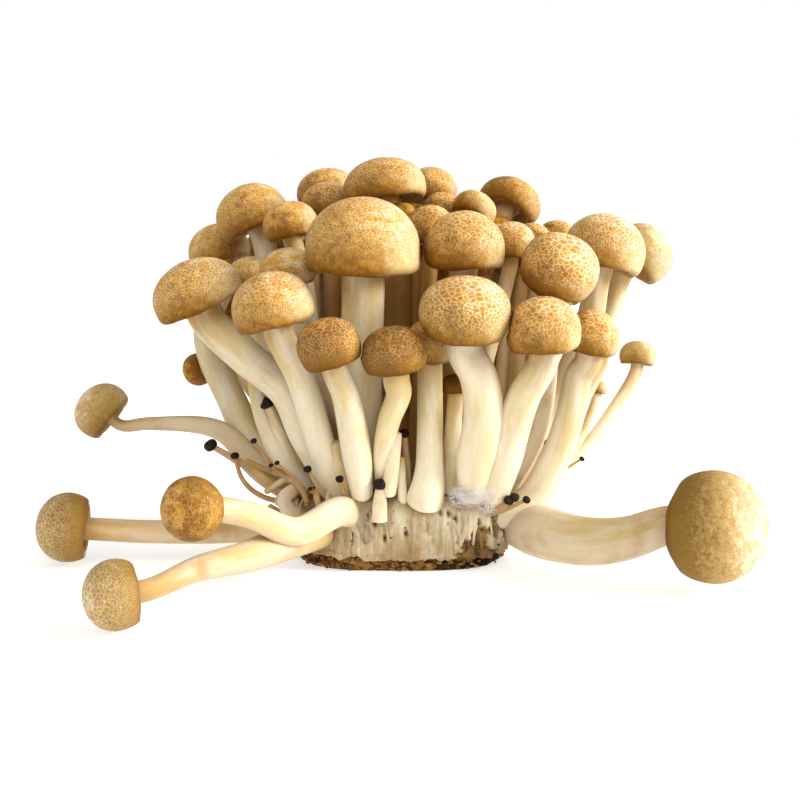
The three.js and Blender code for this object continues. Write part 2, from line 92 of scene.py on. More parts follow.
# Stems that don't run straight: foot against neck, root and the points on the way up, in mm.
STEM_ROUTES = {
    "front_1": (1.08, (-8, -11), [(-9.5, -17, 34), (-9, -20, 52)]),
    "front_2": (1.28, (9, -8), [(13, -11, 42), (14.5, -14, 56)]),
    "front_3": (1.22, (16.5, -19), [(17.5, -27, 26), (19, -30.5, 37), (17.5, -33, 47)]),
    "front_4": (1.1, (-8, -20), [(-10, -29, 29), (-12, -34, 42)]),
    "front_5": (0.8, (-4.8, -18), [(-4, -27.5, 29), (-2.4, -32, 37), (-0.3, -34.5, 43)]),
    "front_6": (1.28, (20, -19), [(24.5, -27, 29), (28, -32, 42)]),
    "front_7": (1.28, (20, -9), [(32, -12, 30), (35, -12, 46), (34, -15, 58)]),
    "front_8": (1.1, (-12, -15), [(-18.5, -23, 30), (-23, -26, 46)]),
    "front_9": (1.08, (4.0, -21.5), [(6.6, -25.4, 21), (7.0, -24.5, 34)]),
    "front_10": (1.2, (11, -17), []),
    "left_1": (1.05, (-9, -11), [(-22, -17, 31), (-27, -17, 42), (-37, -14.5, 50)]),
    "left_2": (1.28, (-13, 4), [(-31, 7, 38), (-33, 10, 60)]),
    "left_3": (1.28, (-11, 0), [(-22, 1, 52), (-24, 0.5, 68)]),
    "left_4": (1.28, (-12, -7), [(-21, -9, 44)]),
    "left_5": (1.28, (-12, -5), [(-27, -9, 22), (-33.5, -6.5, 35), (-36, -3, 50)]),
    "left_6": (1.28, (-15, 6), [(-35, 5, 22), (-43, 9, 36), (-51, 17, 54)]),
    "left_7": (1.28, (-16, 11), [(-33, 16, 30), (-43, 17, 43)]),
    "right_1": (1.28, (16, -1), [(40, -1, 40), (47, -2, 58)]),
    "right_2": (1.28, (17, 6), [(48, 12, 42), (54, 14, 58)]),
    "right_3": (1.15, (19, -14), [(31.8, -16, 16), (36.8, -17.5, 25), (40.4, -18, 36), (42.4, -18.5, 46)]),
    "right_4": (1.28, (19, 2), [(43, 4, 32)]),
    "right_5": (1.28, (18, 9), [(46, 15, 21), (57, 18, 34)]),
    "right_6": (1.28, (19, 7), [(44, 13, 22)]),
    "side_1": (2.3, (-16, -1), [(-35, 1, 20), (-46, 3, 30), (-64, 5, 31.5)]),
    "side_2": (1.15, (-18, -8), [(-40, -14, 7.5), (-60, -16.5, 7.8)]),
    "side_3": (1.32, (-8, -14), [(-14, -28, 15), (-23, -39, 12.5), (-32, -51, 18.5)]),
    "side_4": (1.85, (-14, -13), [(-23, -31, 9.5), (-33, -48, 9), (-42, -62, 9.5)]),
    "side_5": (1.55, (27, -4), [(33.8, -20.5, 8.5), (43, -31, 8.5), (51, -36.5, 10.4)]),
}

# Stems whose round foot shows on the root mass's shoulder: its height in mm, which only the front
# ones heed, and its width against the stem's belly.
SHOWN_FEET = {
    "front_3": (16.5, 0.72),
    "front_4": (16.8, 0.74),
    "front_5": (18.5, 0.6),
    "front_6": (16.2, 0.78),
    "front_9": (14.9, 1.36),
    "side_5": (9, 0.9),
}

# Stunted mushrooms: root, tip, radius and the radius of the dark head, if any, in mm.
RUNTS = [
    ((-2.7, -26.4, 18.2), (-0.9, -29.5, 33.8), 1.5, 0),
    ((-20, -8, 12), (-32, -11, 38), 1.6, 1.6),
    ((-12, -19, 12), (-15, -25, 31), 1.9, 0),
    ((24, -4, 12), (35.5, -8, 28.3), 1.9, 0.9),
    ((-8, 20, 12), (-10, 28, 34), 1.8, 1.7),
    ((12, 19, 12), (15, 29, 30), 1.7, 0),
    ((2.2, -17, 12), (1.0, -22.5, 32.5), 0.95, 1.15),
    ((-2, -18, 12), (-1.3, -24.2, 36), 1.0, 1.25),
    ((0.8, -23, 13), (0.1, -25.6, 27.5), 1.0, 0),
]

# Pinheads: the head's radius, and from the root to the head the points of the thread, in mm.
PINS = [
    (1.6, [(-20, -2, 12), (-33, -4.5, 19), (-47, -5.5, 27.3)]),
    (1.0, [(-20, -7, 12), (-34, -8.5, 15), (-38.8, -8, 19), (-40.8, -7.5, 25)]),
    (0.75, [(-20, -8, 14), (-29, -10.5, 20), (-35.5, -12, 29.3)]),
    (0.6, [(-16, -16, 14), (-23, -18, 19), (-29.3, -18.5, 24.9)]),
    (0.55, [(-18, -15, 14), (-25, -17.5, 19), (-30.8, -17.8, 24.2)]),
    (0.9, [(-14, -18, 14), (-18, -22.5, 18), (-21.5, -25.5, 24.5)]),
    (0.5, [(-14, -18, 12), (-18, -21.5, 15), (-21.2, -22.5, 19.3)]),
    (0.9, [(-11, -19, 14), (-12.5, -24, 17), (-14, -27, 22.4)]),
    (1.15, [(20, -18, 12), (23, -23, 14.5), (25.3, -26.3, 17.3)]),
    (1.1, [(20, -18, 12), (23.5, -23, 14.5), (26.7, -26.3, 18.0)]),
    (0.9, [(22, -16, 12), (26, -21, 14.5), (29.6, -24.5, 17.1)]),
    (0.65, [(26, 4, 14), (37, 4, 17), (46.5, 4, 22.5)]),
    (1.3, [(12, 14, 12), (17, 20, 17), (22, 26, 23)]),
    (1.2, [(-2, 20, 14), (0, 25, 17), (2, 29, 21)]),
    (1.4, [(-14, 12, 12), (-20, 17, 17), (-26, 22, 23)]),
]
BUTTON = ((-4.7, -26.8, 12.2), (-4.7, -27.7, 21.3), 1.45)  # the one on a cone: foot, head and radius

# Loose roots in the tangle on the left shoulder: radius, how brown, and the points in mm.
ROOTLETS = [
    (0.9, 0.3, [(-19, -14, 15), (-27, -16, 20.5), (-30.5, -16, 18.6), (-32.6, -15.5, 17.2)]),
    (1.8, 0.2, [(-21, -15, 11), (-26, -19, 13.2), (-27.6, -20, 16.4), (-24.5, -17, 19)]),
    (0.8, 1.0, [(-30.5, -15, 22.5), (-26.5, -17.5, 21.2), (-23.6, -19.5, 19), (-21.8, -20.5, 15.5)]),
    (0.75, 0.5, [(-17, -17, 19), (-19.6, -21.5, 18.2), (-19, -23, 14.5)]),
    (0.55, 0.3, [(-14.5, -18, 19), (-17, -22.5, 17.6), (-16.6, -23.6, 14.2)]),
    (1.1, 0.6, [(-20, -9, 14), (-28, -12, 17.2), (-33, -13.5, 20.5), (-36, -12, 22.5)]),
    (1.2, 0.35, [(-18, -12, 12), (-25, -16.5, 14.8), (-30, -18, 15.6)]),
    (0.6, 0.9, [(-20, -6, 15), (-27, -10, 21), (-33, -9.5, 22), (-38, -8.5, 24.2)]),
    (0.7, 0.7, [(-22, -10, 12), (-29, -15, 12.4), (-31.5, -17.5, 14.4)]),
]

# Cords that run down the front of the root mass: radius, how brown, and (across, up) in mm.
CORDS = [
    (1.15, 0.75, [(-9.9, 17), (-9.4, 12), (-7.4, 7)]),
    (0.75, 0.95, [(-7.7, 16.2), (-7.9, 12.5), (-6.3, 8.2)]),
    (0.5, 0.5, [(2.5, 13.6), (3.0, 9), (2.6, 4.4)]),
    (0.9, 0.05, [(15.2, 15.4), (15.9, 11), (14.0, 6.8)]),
    (0.65, 0.15, [(12.2, 12.6), (13.8, 9.5), (14.4, 6)]),
    (0.8, 0.2, [(-13.4, 12.6), (-12, 9), (-12.4, 5.6)]),
    (1.0, 0.5, [(-2.6, 15.4), (-2.9, 13.2), (-4.4, 11.8)]),
]

# Slits and holes in the front of the root mass: (across, up) in mm.
PITS = [(-5.4, 13.4), (-5.8, 11.8), (1.4, 9.4), (-11.6, 7.8), (-3.5, 8.3), (11.5, 14), (13, 12.6),
        (9.4, 14.4), (-11.4, 9), (18.5, 8.4), (20.6, 11.4), (-6.4, 15.2), (22.5, 9.6), (-17, 9.5)]

# A brown break in the root mass, below and right of the line between two points, (across, up) in mm.
BREAK = ((11.4, 3.4), (23.6, 14.8))
SOUND_CORNER = (22.8, 6.0, 2.5)  # pale again: across, up and radius

# How tanned the stems are: by side, and by name for those that differ; for the top and inner stems,
# which show only in the gaps of the cluster, the darkness is painted shade. Then how much darker at the foot.
REGION_TONES = {"top": 0.5, "inner": 0.6, "back": 0.1, "left": 0.03, "right": 0.06, "side": 0.16,
                "front": 0.02}
STEM_TONES = {"top_9": 0.3, "front_1": 0.16, "front_2": 0.3, "front_7": 0.25, "front_10": 0.0,
              "side_1": 0.42, "side_2": 0.55, "side_3": 0.36, "side_4": 0.5, "side_5": 0.36}
FOOT_TONES = {"side_1": 0.9, "side_2": 0.4, "side_3": 0.12, "side_4": 0.3, "left_1": 0.35, "left_6": 0.7}
REGION_FOOT_TONES = {"left": 0.2}
FOOT_TONE = 0.04  # of every other foot
RUNT_TONES = {1: 0.2, 3: 0.8, 4: 0.4, 6: 0.6, 7: 0.3}  # by place in the list of runts
RUNT_TONE = 0.15  # of every other runt
THREAD_TONE = 0.72
CONE_TONE = 0.32
CONICAL_RUNT = 1  # the runt whose dark head is a cone
SHOULDER_ROOTLETS = 44
STRANDS = 28
CRUMBS = 420
STRAY_CRUMB = 6  # every sixth crumb lies up on the root mass, not on the slab
HEM_HEIGHT = 2.9 * MM  # lower edge of the root mass, and how ragged it is
HEM_WAVE = 1.5 * MM
CROWN_WALL = 0.74  # height of the root mass's upright wall, as a share of its whole height
BACK_PITS = 40  # pits round its sides and back
PIT_DEPTH, BREAK_DEPTH = 0.7 * MM, 0.5 * MM
STRAND_SEAT = 0.993  # how far out the middle of a strand lies, against the wall
STRAND_FLATNESS = 0.24  # how thick a strand is left when it is pressed to the wall

# Young mushrooms in the dark middle stand in rows: from the left end of a row, its length, the way
# from row to row, and how far back one may stand in its row, in mm.
YOUNG_ROWS, YOUNG_IN_A_ROW = 2, 14
YOUNG_LEFT, YOUNG_LENGTH, YOUNG_ROW_GAP, YOUNG_STRAY = -25, 62, 11, 8
YOUNG_LOWEST, YOUNG_HIGHEST = 40 * MM, 58 * MM  # heights of their heads
YOUNG_HEADROOM = 3 * MM  # left below a grown cap's rim
# the young ones' darkness, stem and head, is painted shade for the dark middle of the cluster
YOUNG_LOOK = (0.5, 0.85, 0.3)  # their skin: how far down from the crown, how dark and how netted

# White mould between the feet of the front stems: middle and half sizes in mm.
MOULD = [
    ((17.0, -26.2, 19.8), (5.0, 2.4, 3.4)),
    ((15.0, -25.8, 18.2), (4.0, 2.2, 2.6)),
    ((20.2, -25.2, 17.4), (2.8, 2.0, 3.4)),
]
MOULD_THREADS = 1000
MOULD_FINEST, MOULD_COARSEST = 0.012, 0.034  # radius of its threads in mm

# How dark each cap's skin is, how plainly its pale net shows, and how round it is. A roundness
# below 0 gives a crisp rim.
REGION_LOOK = {
    "front": (0.45, 0.8, 0.5),
    "left": (0.42, 0.5, 0.3),
    "right": (0.4, 0.5, 0.6),
    "top": (0.55, 0.85, 0.4),
    "back": (0.48, 0.7, 0.4),
    "inner": (0.6, 0.8, 0.4),
    "side": (0.42, 0.5, 0.5),
}
CAP_LOOK = {
    "front_1": (0.4, 0.72, -0.8),
    "front_2": (0.5, 0.9, -0.4),
    "front_3": (0.42, 1.0, 0.9),
    "front_4": (0.98, 1.0, 0.7),
    "front_5": (1.06, 1.0, 0.3),
    "front_6": (0.45, 0.9, -0.1),
    "front_7": (0.5, 1.0, 0.9),
    "front_8": (0.36, 0.8, -0.3),
    "front_10": (1.9, 0.0, 0.2),
    "left_1": (0.36, 0.8, -0.6),
    "left_2": (0.45, 0.7, -0.6),
    "left_7": (0.75, 0.3, 0.3),
    "top_1": (0.5, 0.9, -0.4),
    "right_1": (0.26, 0.9, 0.0),
    "right_2": (0.5, 0.4, 0.3),
    "right_3": (0.5, 0.9, 0.0),
    "right_5": (0.42, 0.4, 0.5),
    "side_1": (0.3, 0.2, 0.3),
    "side_2": (0.62, 0.8, 0.5),
    "side_3": (0.86, 0.6, 0.7),
    "side_4": (0.42, 0.75, 0.5),
    "side_5": (0.66, 0.2, 0.3),
}
LOOK_SPREAD = 0.15  # how much the look of a cap without its own entry may differ from its region's

# The caps whose skin is beige: all others are golden brown.
PALE_CAPS = ("right_2", "right_5", "right_6", "side_1", "side_2", "side_4", "side_5")


# ---------------------------------------------------------------- small tools
def metres(point):
    return Vector(point) * MM


def smoothstep(value, low, high):
    share = np.clip((value - low) / (high - low), 0, 1)
    return share * share * (3 - 2 * share)


def points_of(piece):
    flat = np.empty(3 * len(piece.data.vertices))
    piece.data.vertices.foreach_get("co", flat)
    return flat.reshape(-1, 3)


def set_points(piece, points):
    piece.data.vertices.foreach_set("co", np.asarray(points, float).ravel())
    piece.data.update()


def store(piece, name, values):
    """Keeps one vector for every point of a piece, for its material to read."""
    layer = piece.data.attributes.new(name, "FLOAT_VECTOR", "POINT")
    layer.data.foreach_set("vector", np.asarray(values, float).ravel())


def levels_of(piece, name):
    flat = np.empty(3 * len(piece.data.vertices))
    piece.data.attributes[name].data.foreach_get("vector", flat)
    return flat.reshape(-1, 3)


def copy_of(master, name):
    piece = bpy.data.objects.new(name, master.data.copy())
    piece.data.name = name
    bpy.context.scene.collection.objects.link(piece)
    return piece


def pick_nothing():
    bpy.ops.object.select_all(action="DESELECT")


def pick(*pieces):
    pick_nothing()
    for piece in pieces:
        piece.select_set(True)
    bpy.context.view_layer.objects.active = pieces[0]


def smooth_shaded(piece, angle):
    pick(piece)
    bpy.ops.object.shade_smooth_by_angle(angle=math.radians(angle))


def one_piece(name, parts):
    """Joins parts into one object of that name."""
    pick(*parts)
    if len(parts) > 1:
        bpy.ops.object.join()
    piece = bpy.context.view_layer.objects.active
    piece.name = piece.data.name = name
    return piece


def hand_over(piece, slot, *replaced):
    """Attaches a finished piece to what it rides on and hides the solids it stands for. The slot is not used.
    """
    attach(piece, BODY)
    if replaced:
        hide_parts(*replaced)


def finish_piece(name, parts, material, slot, *replaced, angle=60):
    """Joins parts of one material, smooths what turns less than the angle, and hands the piece over."""
    piece = one_piece(name, parts)
    piece.data.materials.append(material)
    smooth_shaded(piece, angle)
    hand_over(piece, slot, *replaced)


def ring_stack(name, sides, stations):
    """A closed skin of level rings: a filled circle whose edge is extruded and resized from one
    (radius, height) to the next, and drawn together at the last."""
    (radius, height), *others = stations
    pick_nothing()
    bpy.ops.mesh.primitive_circle_add(vertices=sides, radius=radius, fill_type="TRIFAN")
    piece = bpy.context.view_layer.objects.active
    piece.name = name
    bpy.ops.object.mode_set(mode="EDIT")
    bpy.ops.transform.translate(value=(0, 0, height))
    bpy.ops.mesh.select_mode(type="EDGE")
    bpy.ops.mesh.select_all(action="DESELECT")
    bpy.ops.mesh.select_non_manifold()
    for next_radius, next_height in others:
        bpy.ops.mesh.extrude_edges_move(TRANSFORM_OT_translate={"value": (0, 0, next_height - height)})
        share = next_radius / radius
        bpy.ops.transform.resize(value=(share, share, 1), center_override=(0, 0, next_height))
        radius, height = next_radius, next_height
    bpy.ops.mesh.merge(type="CENTER")
    bpy.ops.mesh.select_all(action="SELECT")
    bpy.ops.mesh.normals_make_consistent(inside=False)
    bpy.ops.object.mode_set(mode="OBJECT")
    return piece


def frame_round(axis):
    """Two directions square to an axis and to each other."""
    axis = Vector(axis).normalized()
    turn = UP.rotation_difference(axis)
    return turn @ Vector((1, 0, 0)), turn @ Vector((0, 1, 0))


def squared(angle):
    """How much further out the base's squarish outline reaches than an oval, at an angle."""
    total = np.abs(np.cos(angle)) ** SQUARENESS + np.abs(np.sin(angle)) ** SQUARENESS
    return total ** (-1 / SQUARENESS)


# ---------------------------------------------------------------- shader tools
def tint(code):
    """A colour such as "b98440" as linear red, green, blue and alpha."""
    parts = [int(code[k : k + 2], 16) / 255 for k in (0, 2, 4)]
    linear = [((c + 0.055) / 1.055) ** 2.4 if c > 0.04045 else c / 12.92 for c in parts]
    return (*linear, 1)


class Value:
    """A node's output on which Python's arithmetic adds the Math nodes."""

    def __init__(self, finish, socket):
        self.finish = finish
        self.socket = socket

    def sum_with(self, operation, *operands):
        return self.finish.node("ShaderNodeMath", {"operation": operation}, dict(enumerate(operands)))

    def __add__(self, other):
        return self.sum_with("ADD", self, other)

    __radd__ = __add__

    def __sub__(self, other):
        return self.sum_with("SUBTRACT", self, other)

    def __rsub__(self, other):
        return self.sum_with("SUBTRACT", other, self)

    def __mul__(self, other):
        return self.sum_with("MULTIPLY", self, other)

    __rmul__ = __mul__

    def ramp(self, low, high, start=0.0, end=1.0):
        """Eases from start to end as the value goes from low to high."""
        settings = {"interpolation_type": "SMOOTHSTEP"}
        inputs = {"Value": self, "From Min": low, "From Max": high, "To Min": start, "To Max": end}
        return self.finish.node("ShaderNodeMapRange", settings, inputs)


class Finish:
    """A material that is put together node by node round one Principled shader."""

    def __init__(self, name, **fixed):
        self.material = bpy.data.materials.new(name)
        self.material.use_nodes = True
        self.tree = self.material.node_tree
        self.shader = self.tree.nodes["Principled BSDF"]
        for socket, value in fixed.items():
            self.shader.inputs[socket.replace("_", " ")].default_value = value

    def node(self, kind, settings=None, inputs=None, output=0):
        made = self.tree.nodes.new(kind)
        for setting, value in (settings or {}).items():
            setattr(made, setting, value)
        for socket, value in (inputs or {}).items():
            self.feed(made.inputs[socket], value)
        return Value(self, made.outputs[output])

    def feed(self, socket, value):
        if isinstance(value, Value):
            self.tree.links.new(value.socket, socket)
        else:
            socket.default_value = value

    def place(self):
        return self.node("ShaderNodeTexCoord", output="Object")

    def stored(self, name):
        return self.node("ShaderNodeAttribute", {"attribute_name": name}, output="Vector")

    def parts(self, vector):
        split = self.node("ShaderNodeSeparateXYZ", inputs={0: vector})
        outputs = split.socket.node.outputs
        return [Value(self, outputs[k]) for k in range(3)]

    def stretched(self, vector, scale, shift=(0, 0, 0)):
        return self.node("ShaderNodeMapping", inputs={"Vector": vector, "Scale": scale, "Location": shift})

    def noise(self, vector, scale, detail=3.0, roughness=0.55, distortion=0.0):
        inputs = {"Vector": vector, "Scale": scale, "Detail": detail, "Roughness": roughness,
                  "Distortion": distortion}
        return self.node("ShaderNodeTexNoise", inputs=inputs)

    def cells(self, vector, scale, feature="F1", flat=False, output="Distance"):
        settings = {"voronoi_dimensions": "2D" if flat else "3D", "feature": feature}
        return self.node("ShaderNodeTexVoronoi", settings, {"Vector": vector, "Scale": scale}, output)

    def moved(self, vector, other, amount):
        """A vector pushed by another one, less a half, times an amount."""
        centred = self.node("ShaderNodeVectorMath", {"operation": "SUBTRACT"}, {0: other, 1: (0.5,) * 3})
        pushed = self.node("ShaderNodeVectorMath", {"operation": "SCALE"}, {0: centred, "Scale": amount})
        return self.node("ShaderNodeVectorMath", {"operation": "ADD"}, {0: vector, 1: pushed})

    def mix(self, one, other, share):
        return self.node("ShaderNodeMix", {"data_type": "RGBA"}, {0: share, 6: one, 7: other}, output=2)

    def shade(self, colour, roughness, relief, depth):
        """Feeds the shader: colour, roughness and a relief that is so many metres deep."""
        self.feed(self.shader.inputs["Base Color"], colour)
        self.feed(self.shader.inputs["Roughness"], roughness)
        bump = self.node("ShaderNodeBump", inputs={"Distance": depth, "Height": relief})
        self.feed(self.shader.inputs["Normal"], bump)
        return self.material


# ---------------------------------------------------------------- materials
# In each palette the first colour is the pale end that the painted highlight lightens the skin to.
GOLDEN = ("fef6de", "f4daa2", "dea744", "85560a", "4a2e02", "fceabc", "e9c888", "855612", "bd6c14")
BEIGE = ("f8f0d8", "ead9b0", "caa866", "82611f", "4d340e", "f8eed2", "dcc698", "927030", "b08444")


def cap_skin(name, palette, patchiness):
    """Skin broken into cells by a thin pale net: large cells on the crown, fine ones at the margin.
    The palette runs from the palest skin, reached mostly where a painted highlight falls, to the darkest,
    reached by the darkest caps and under painted shade, then the net, the margin, pale and dark, and the
    flush on the crown."""
    painted_highlight_pale, light, middle, dark_brown, darkest, *others = map(tint, palette)
    net_pale, edge_light, edge_dark, flush_red = others
    skin = Finish(name, Subsurface_Weight=0.08, Subsurface_Radius=(1.0, 0.42, 0.14),
                  Subsurface_Scale=1.4 * MM, Specular_IOR_Level=0.08, Coat_Weight=0.02,
                  Coat_Roughness=0.4)
    place = skin.stored("skin_place")
    # the tone mark is each cap's own darkness plus painted highlight and painted shade
    margin, tone, net_share = skin.parts(skin.stored("skin_look"))
    waver = skin.node("ShaderNodeTexNoise", inputs={"Vector": place, "Scale": 0.8, "Detail": 3.0},
                      output="Color")
    wavered = skin.moved(place, waver, 1.3)
    edge = skin.cells(wavered, 0.44, "DISTANCE_TO_EDGE", flat=True)
    fine_edge = skin.cells(wavered, 0.85, "DISTANCE_TO_EDGE", flat=True)
    cell_tint, fine_share, _ = skin.parts(skin.cells(wavered, 0.44, flat=True, output="Color"))
    width = skin.noise(place, 0.4, 2.0).ramp(0.35, 0.65, 0.05, 0.1)
    patches = skin.noise(place, 0.16, 3.0).ramp(0.34, 0.66)
    grain = skin.noise(place, 2.4, 4.0, 0.65)
    stipple = skin.noise(place, 1.0, 2.0, 0.6).ramp(0.46, 0.62)

    net = edge.ramp(0.01, width, 1.0, 0.0)
    fine_net = fine_edge.ramp(0.0, 0.15, 1.0, 0.0) * fine_share.ramp(0.25, 0.8, 0.2, 0.8)
    fade = margin.ramp(0.6, 1.0, 1.0, 0.12)
    lines = (net + fine_net * (1 - net)) * fade * net_share * grain.ramp(0.25, 0.5, 0.6, 1.0)

    dark = tone * 0.85 + (patches - 0.5) * patchiness + 0.17 + cell_tint * 0.2 + grain * 0.2 - 0.37
    # the net fades as the skin darkens, under painted shade too
    lines = lines * dark.ramp(0.4, 0.9, 1.0, 0.85)
    brown = skin.mix(painted_highlight_pale, light, dark.ramp(-0.3, 0.05))
    brown = skin.mix(brown, middle, dark.ramp(0.04, 0.36))
    brown = skin.mix(brown, dark_brown, dark.ramp(0.36, 0.8))
    brown = skin.mix(brown, darkest, dark.ramp(0.75, 1.25))
    flush = skin.noise(place, 0.13, 3.0, 0.6, 0.6).ramp(0.42, 0.62) * margin.ramp(0.3, 0.85, 1.0, 0.15)
    darkness_and_shade = tone.ramp(0.5, 0.95)
    brown = skin.mix(brown, flush_red, flush * (1 - darkness_and_shade * 0.8) * 0.48)
    edge_brown = skin.mix(edge_light, edge_dark, tone.ramp(-0.1, 0.5))
    margined = skin.mix(brown, edge_brown, margin.ramp(0.5, 0.9) * 0.6)
    hollow = skin.mix(margined, tint("a0620c"), edge.ramp(0.08, 0.34) * fade * net_share * 0.7)
    netted = skin.mix(hollow, skin.mix(net_pale, middle, darkness_and_shade * 0.45), lines * 0.85)
    speckled = skin.mix(netted, tint("7a560f"), stipple * margin.ramp(0.25, 0.7, 0.1, 0.42))
    lipped = skin.mix(speckled, tint("6a3e0c"), margin.ramp(0.9, 1.0) * 0.6)
    relief = (1 - lines) * 0.6 + grain * 0.4
    return skin.shade(lipped, grain.ramp(0.2, 0.8, 0.4, 0.54), relief, 0.12 * MM)


def gill_flesh():
    """Tan gills, with painted shade: dark brown deep between them."""
    flesh = Finish("gill_flesh", Subsurface_Weight=0.1, Subsurface_Radius=(1.0, 0.6, 0.35),
                   Subsurface_Scale=1.2 * MM)
    place = flesh.stored("skin_place")
    depth, _, _ = flesh.parts(flesh.stored("skin_look"))
    grain = flesh.noise(place, 1.3, 4.0)
    tan = flesh.mix(tint("d2b482"), tint("a98450"), grain.ramp(0.35, 0.7))
    # painted shade deep in the grooves between the gills
    colour = flesh.mix(tan, tint("6e4a22"), depth.ramp(0.0, 1.0) * 0.85)
    return flesh.shade(colour, grain.ramp(0.2, 0.8, 0.6, 0.75), grain, 0.08 * MM)


def stem_flesh():
    """Ivory flesh with a fine felted surface, tanned in broad soft patches and under the cap, with painted
    shade on the stems in the middle of the cluster.
    """
    flesh = Finish("stem_flesh", Subsurface_Weight=0.2, Subsurface_Radius=(1.0, 0.6, 0.3),
                   Subsurface_Scale=1.8 * MM, Specular_IOR_Level=0.2)
    place = flesh.stored("fibre_place")
    along, tone, shade = flesh.parts(flesh.stored("fibre_look"))
    felt = flesh.noise(flesh.stretched(place, (1.6, 1.6, 0.6)), 1.0, 5.0, 0.62)
    bands = flesh.noise(flesh.stretched(place, (0.22, 0.22, 0.05)), 1.0, 3.0)
    patches = flesh.noise(place, 0.09, 3.0)
    pores = flesh.noise(place, 3.0, 4.0, 0.7)
    banding = bands.ramp(0.38, 0.66) * along.ramp(0.0, 0.5, 0.35, 1.0)
    ivory = flesh.mix(tint("f0e5cb"), tint("dfcb98"), banding)
    # browning holds each stem's tone, painted shade for the top and inner ones, and the painted shade of the
    # cluster's middle
    browning = (patches.ramp(0.52, 0.74) * 0.28 + tone + shade * 0.65).ramp(0.0, 1.1)
    tanned = flesh.mix(ivory, tint("a3732a"), browning * 0.92)
    ended = flesh.mix(tanned, tint("b08232"), along.ramp(0.7, 1.0) * bands.ramp(0.2, 0.6) * 0.7)
    felted = flesh.mix(ended, tint("bb9a64"), felt.ramp(0.54, 0.76) * along.ramp(0.2, 0.9, 0.15, 0.45))
    relief = felt * 0.6 + pores * 0.4
    return flesh.shade(felted, pores.ramp(0.25, 0.75, 0.5, 0.68), relief, 0.16 * MM)


def root_flesh():
    """The root mass: matted grey-cream threads, ochre low down, brown where it is broken, with painted shade
    in its pits, along its top and between the stems.
    """
    mass = Finish("root_flesh", Subsurface_Weight=0.1, Subsurface_Radius=(1.0, 0.65, 0.4),
                  Subsurface_Scale=1.2 * MM, Specular_IOR_Level=0.12)
    place = mass.place()
    broken, pit, deep = mass.parts(mass.stored("root_look"))
    _, _, height = mass.parts(place)
    threads = mass.noise(mass.stretched(place, (1500, 1500, 60)), 1.0, 3.0, 0.55)
    upright = mass.noise(mass.stretched(place, (330, 330, 110)), 1.0, 5.0, 0.65)
    stains = mass.noise(mass.stretched(place, (130, 130, 90)), 1.0, 4.0, 0.6)
    fine = mass.noise(place, 1400.0, 4.0, 0.7)
    flecks = mass.noise(mass.stretched(place, (480, 480, 330), (0.3, 0, 0)), 1.0, 4.0, 0.7)
    cream = mass.mix(tint("c9bda2"), tint("a4926f"), upright.ramp(0.36, 0.64))
    threaded = mass.mix(cream, tint("dad0b8"), threads.ramp(0.5, 0.64) * 0.42)
    # painted shade along the top, under the stems' feet
    painted_top_shade = height.ramp(12 * MM, 17 * MM) * 0.5
    stained = mass.mix(threaded, tint("9a7c4c"), (stains.ramp(0.46, 0.64) * 0.6 + painted_top_shade).ramp(0.0, 1.1))
    low = height.ramp(9.5 * MM, 3.5 * MM) * stains.ramp(0.32, 0.6)
    lower = mass.mix(stained, tint("957546"), low * 0.6)
    rot = mass.mix(tint("7c5c30"), tint("341e06"), flecks.ramp(0.38, 0.6))
    patched = mass.mix(lower, rot, broken * 0.95)
    fleck = flecks.ramp(0.6, 0.7) * height.ramp(6 * MM, 14 * MM, 0.3, 0.8)
    flecked = mass.mix(patched, tint("4a2f12"), fleck)
    # painted shade in the pits: brown round their rim, nearly black deep in
    haloed = mass.mix(flecked, tint("8a6636"), pit.ramp(0.02, 0.5) * 0.8)
    pitted = mass.mix(haloed, tint("3a260f"), pit.ramp(0.35, 0.9))
    shaded = mass.mix(pitted, tint("5d4426"), deep)
    relief = upright * 0.4 + threads * 0.35 + fine * 0.2 + (1 - flecks.ramp(0.62, 0.74)) * 0.3
    return mass.shade(shaded, fine.ramp(0.2, 0.8, 0.65, 0.9), relief, 0.3 * MM)


def mould_white():
    """White cottony mould."""
    cotton = Finish("mould_white", Subsurface_Weight=0.2, Subsurface_Radius=(1.0, 0.9, 0.85),
                    Subsurface_Scale=1.2 * MM, Specular_IOR_Level=0.1)
    place = cotton.place()
    clots = cotton.noise(place, 300.0, 3.0)
    grain = cotton.noise(place, 4000.0, 3.0)
    colour = cotton.mix(tint("f4f0ee"), tint("e4ded8"), clots.ramp(0.35, 0.65))
    return cotton.shade(colour, grain.ramp(0.2, 0.8, 0.8, 0.95), grain, 0.05 * MM)


def growing_medium():
    """Pressed sawdust and bran: crumbs of every brown, ochre to the left and nearly black to the right."""
    medium = Finish("growing_medium", Specular_IOR_Level=0.1)
    place = medium.place()
    across, _, _ = medium.parts(place)
    shove = medium.node("ShaderNodeTexNoise", inputs={"Vector": place, "Scale": 500.0}, output="Color")
    shoved = medium.moved(place, shove, 1.2 * MM)
    crumb, other, _ = medium.parts(medium.cells(shoved, 950.0, output="Color"))
    round_top = medium.cells(shoved, 950.0)
    damp = medium.noise(place, 120.0, 4.0)
    grain = medium.noise(place, 2600.0, 4.0, 0.7)
    brown = medium.mix(tint("4c2e0e"), tint("9a6f30"), crumb.ramp(0.15, 0.95))
    pale = medium.mix(brown, tint("ccaa70"), other.ramp(0.84, 0.95) * 0.7)
    wet = damp.ramp(0.4, 0.62) * 0.65 + across.ramp(4 * MM, 16 * MM) * 0.4
    damped = medium.mix(pale, tint("1e0d02"), wet.ramp(0.0, 1.1))
    relief = (1 - round_top) * 0.8 + grain * 0.3
    return medium.shade(damped, grain.ramp(0.2, 0.8, 0.75, 0.95), relief, 0.5 * MM)


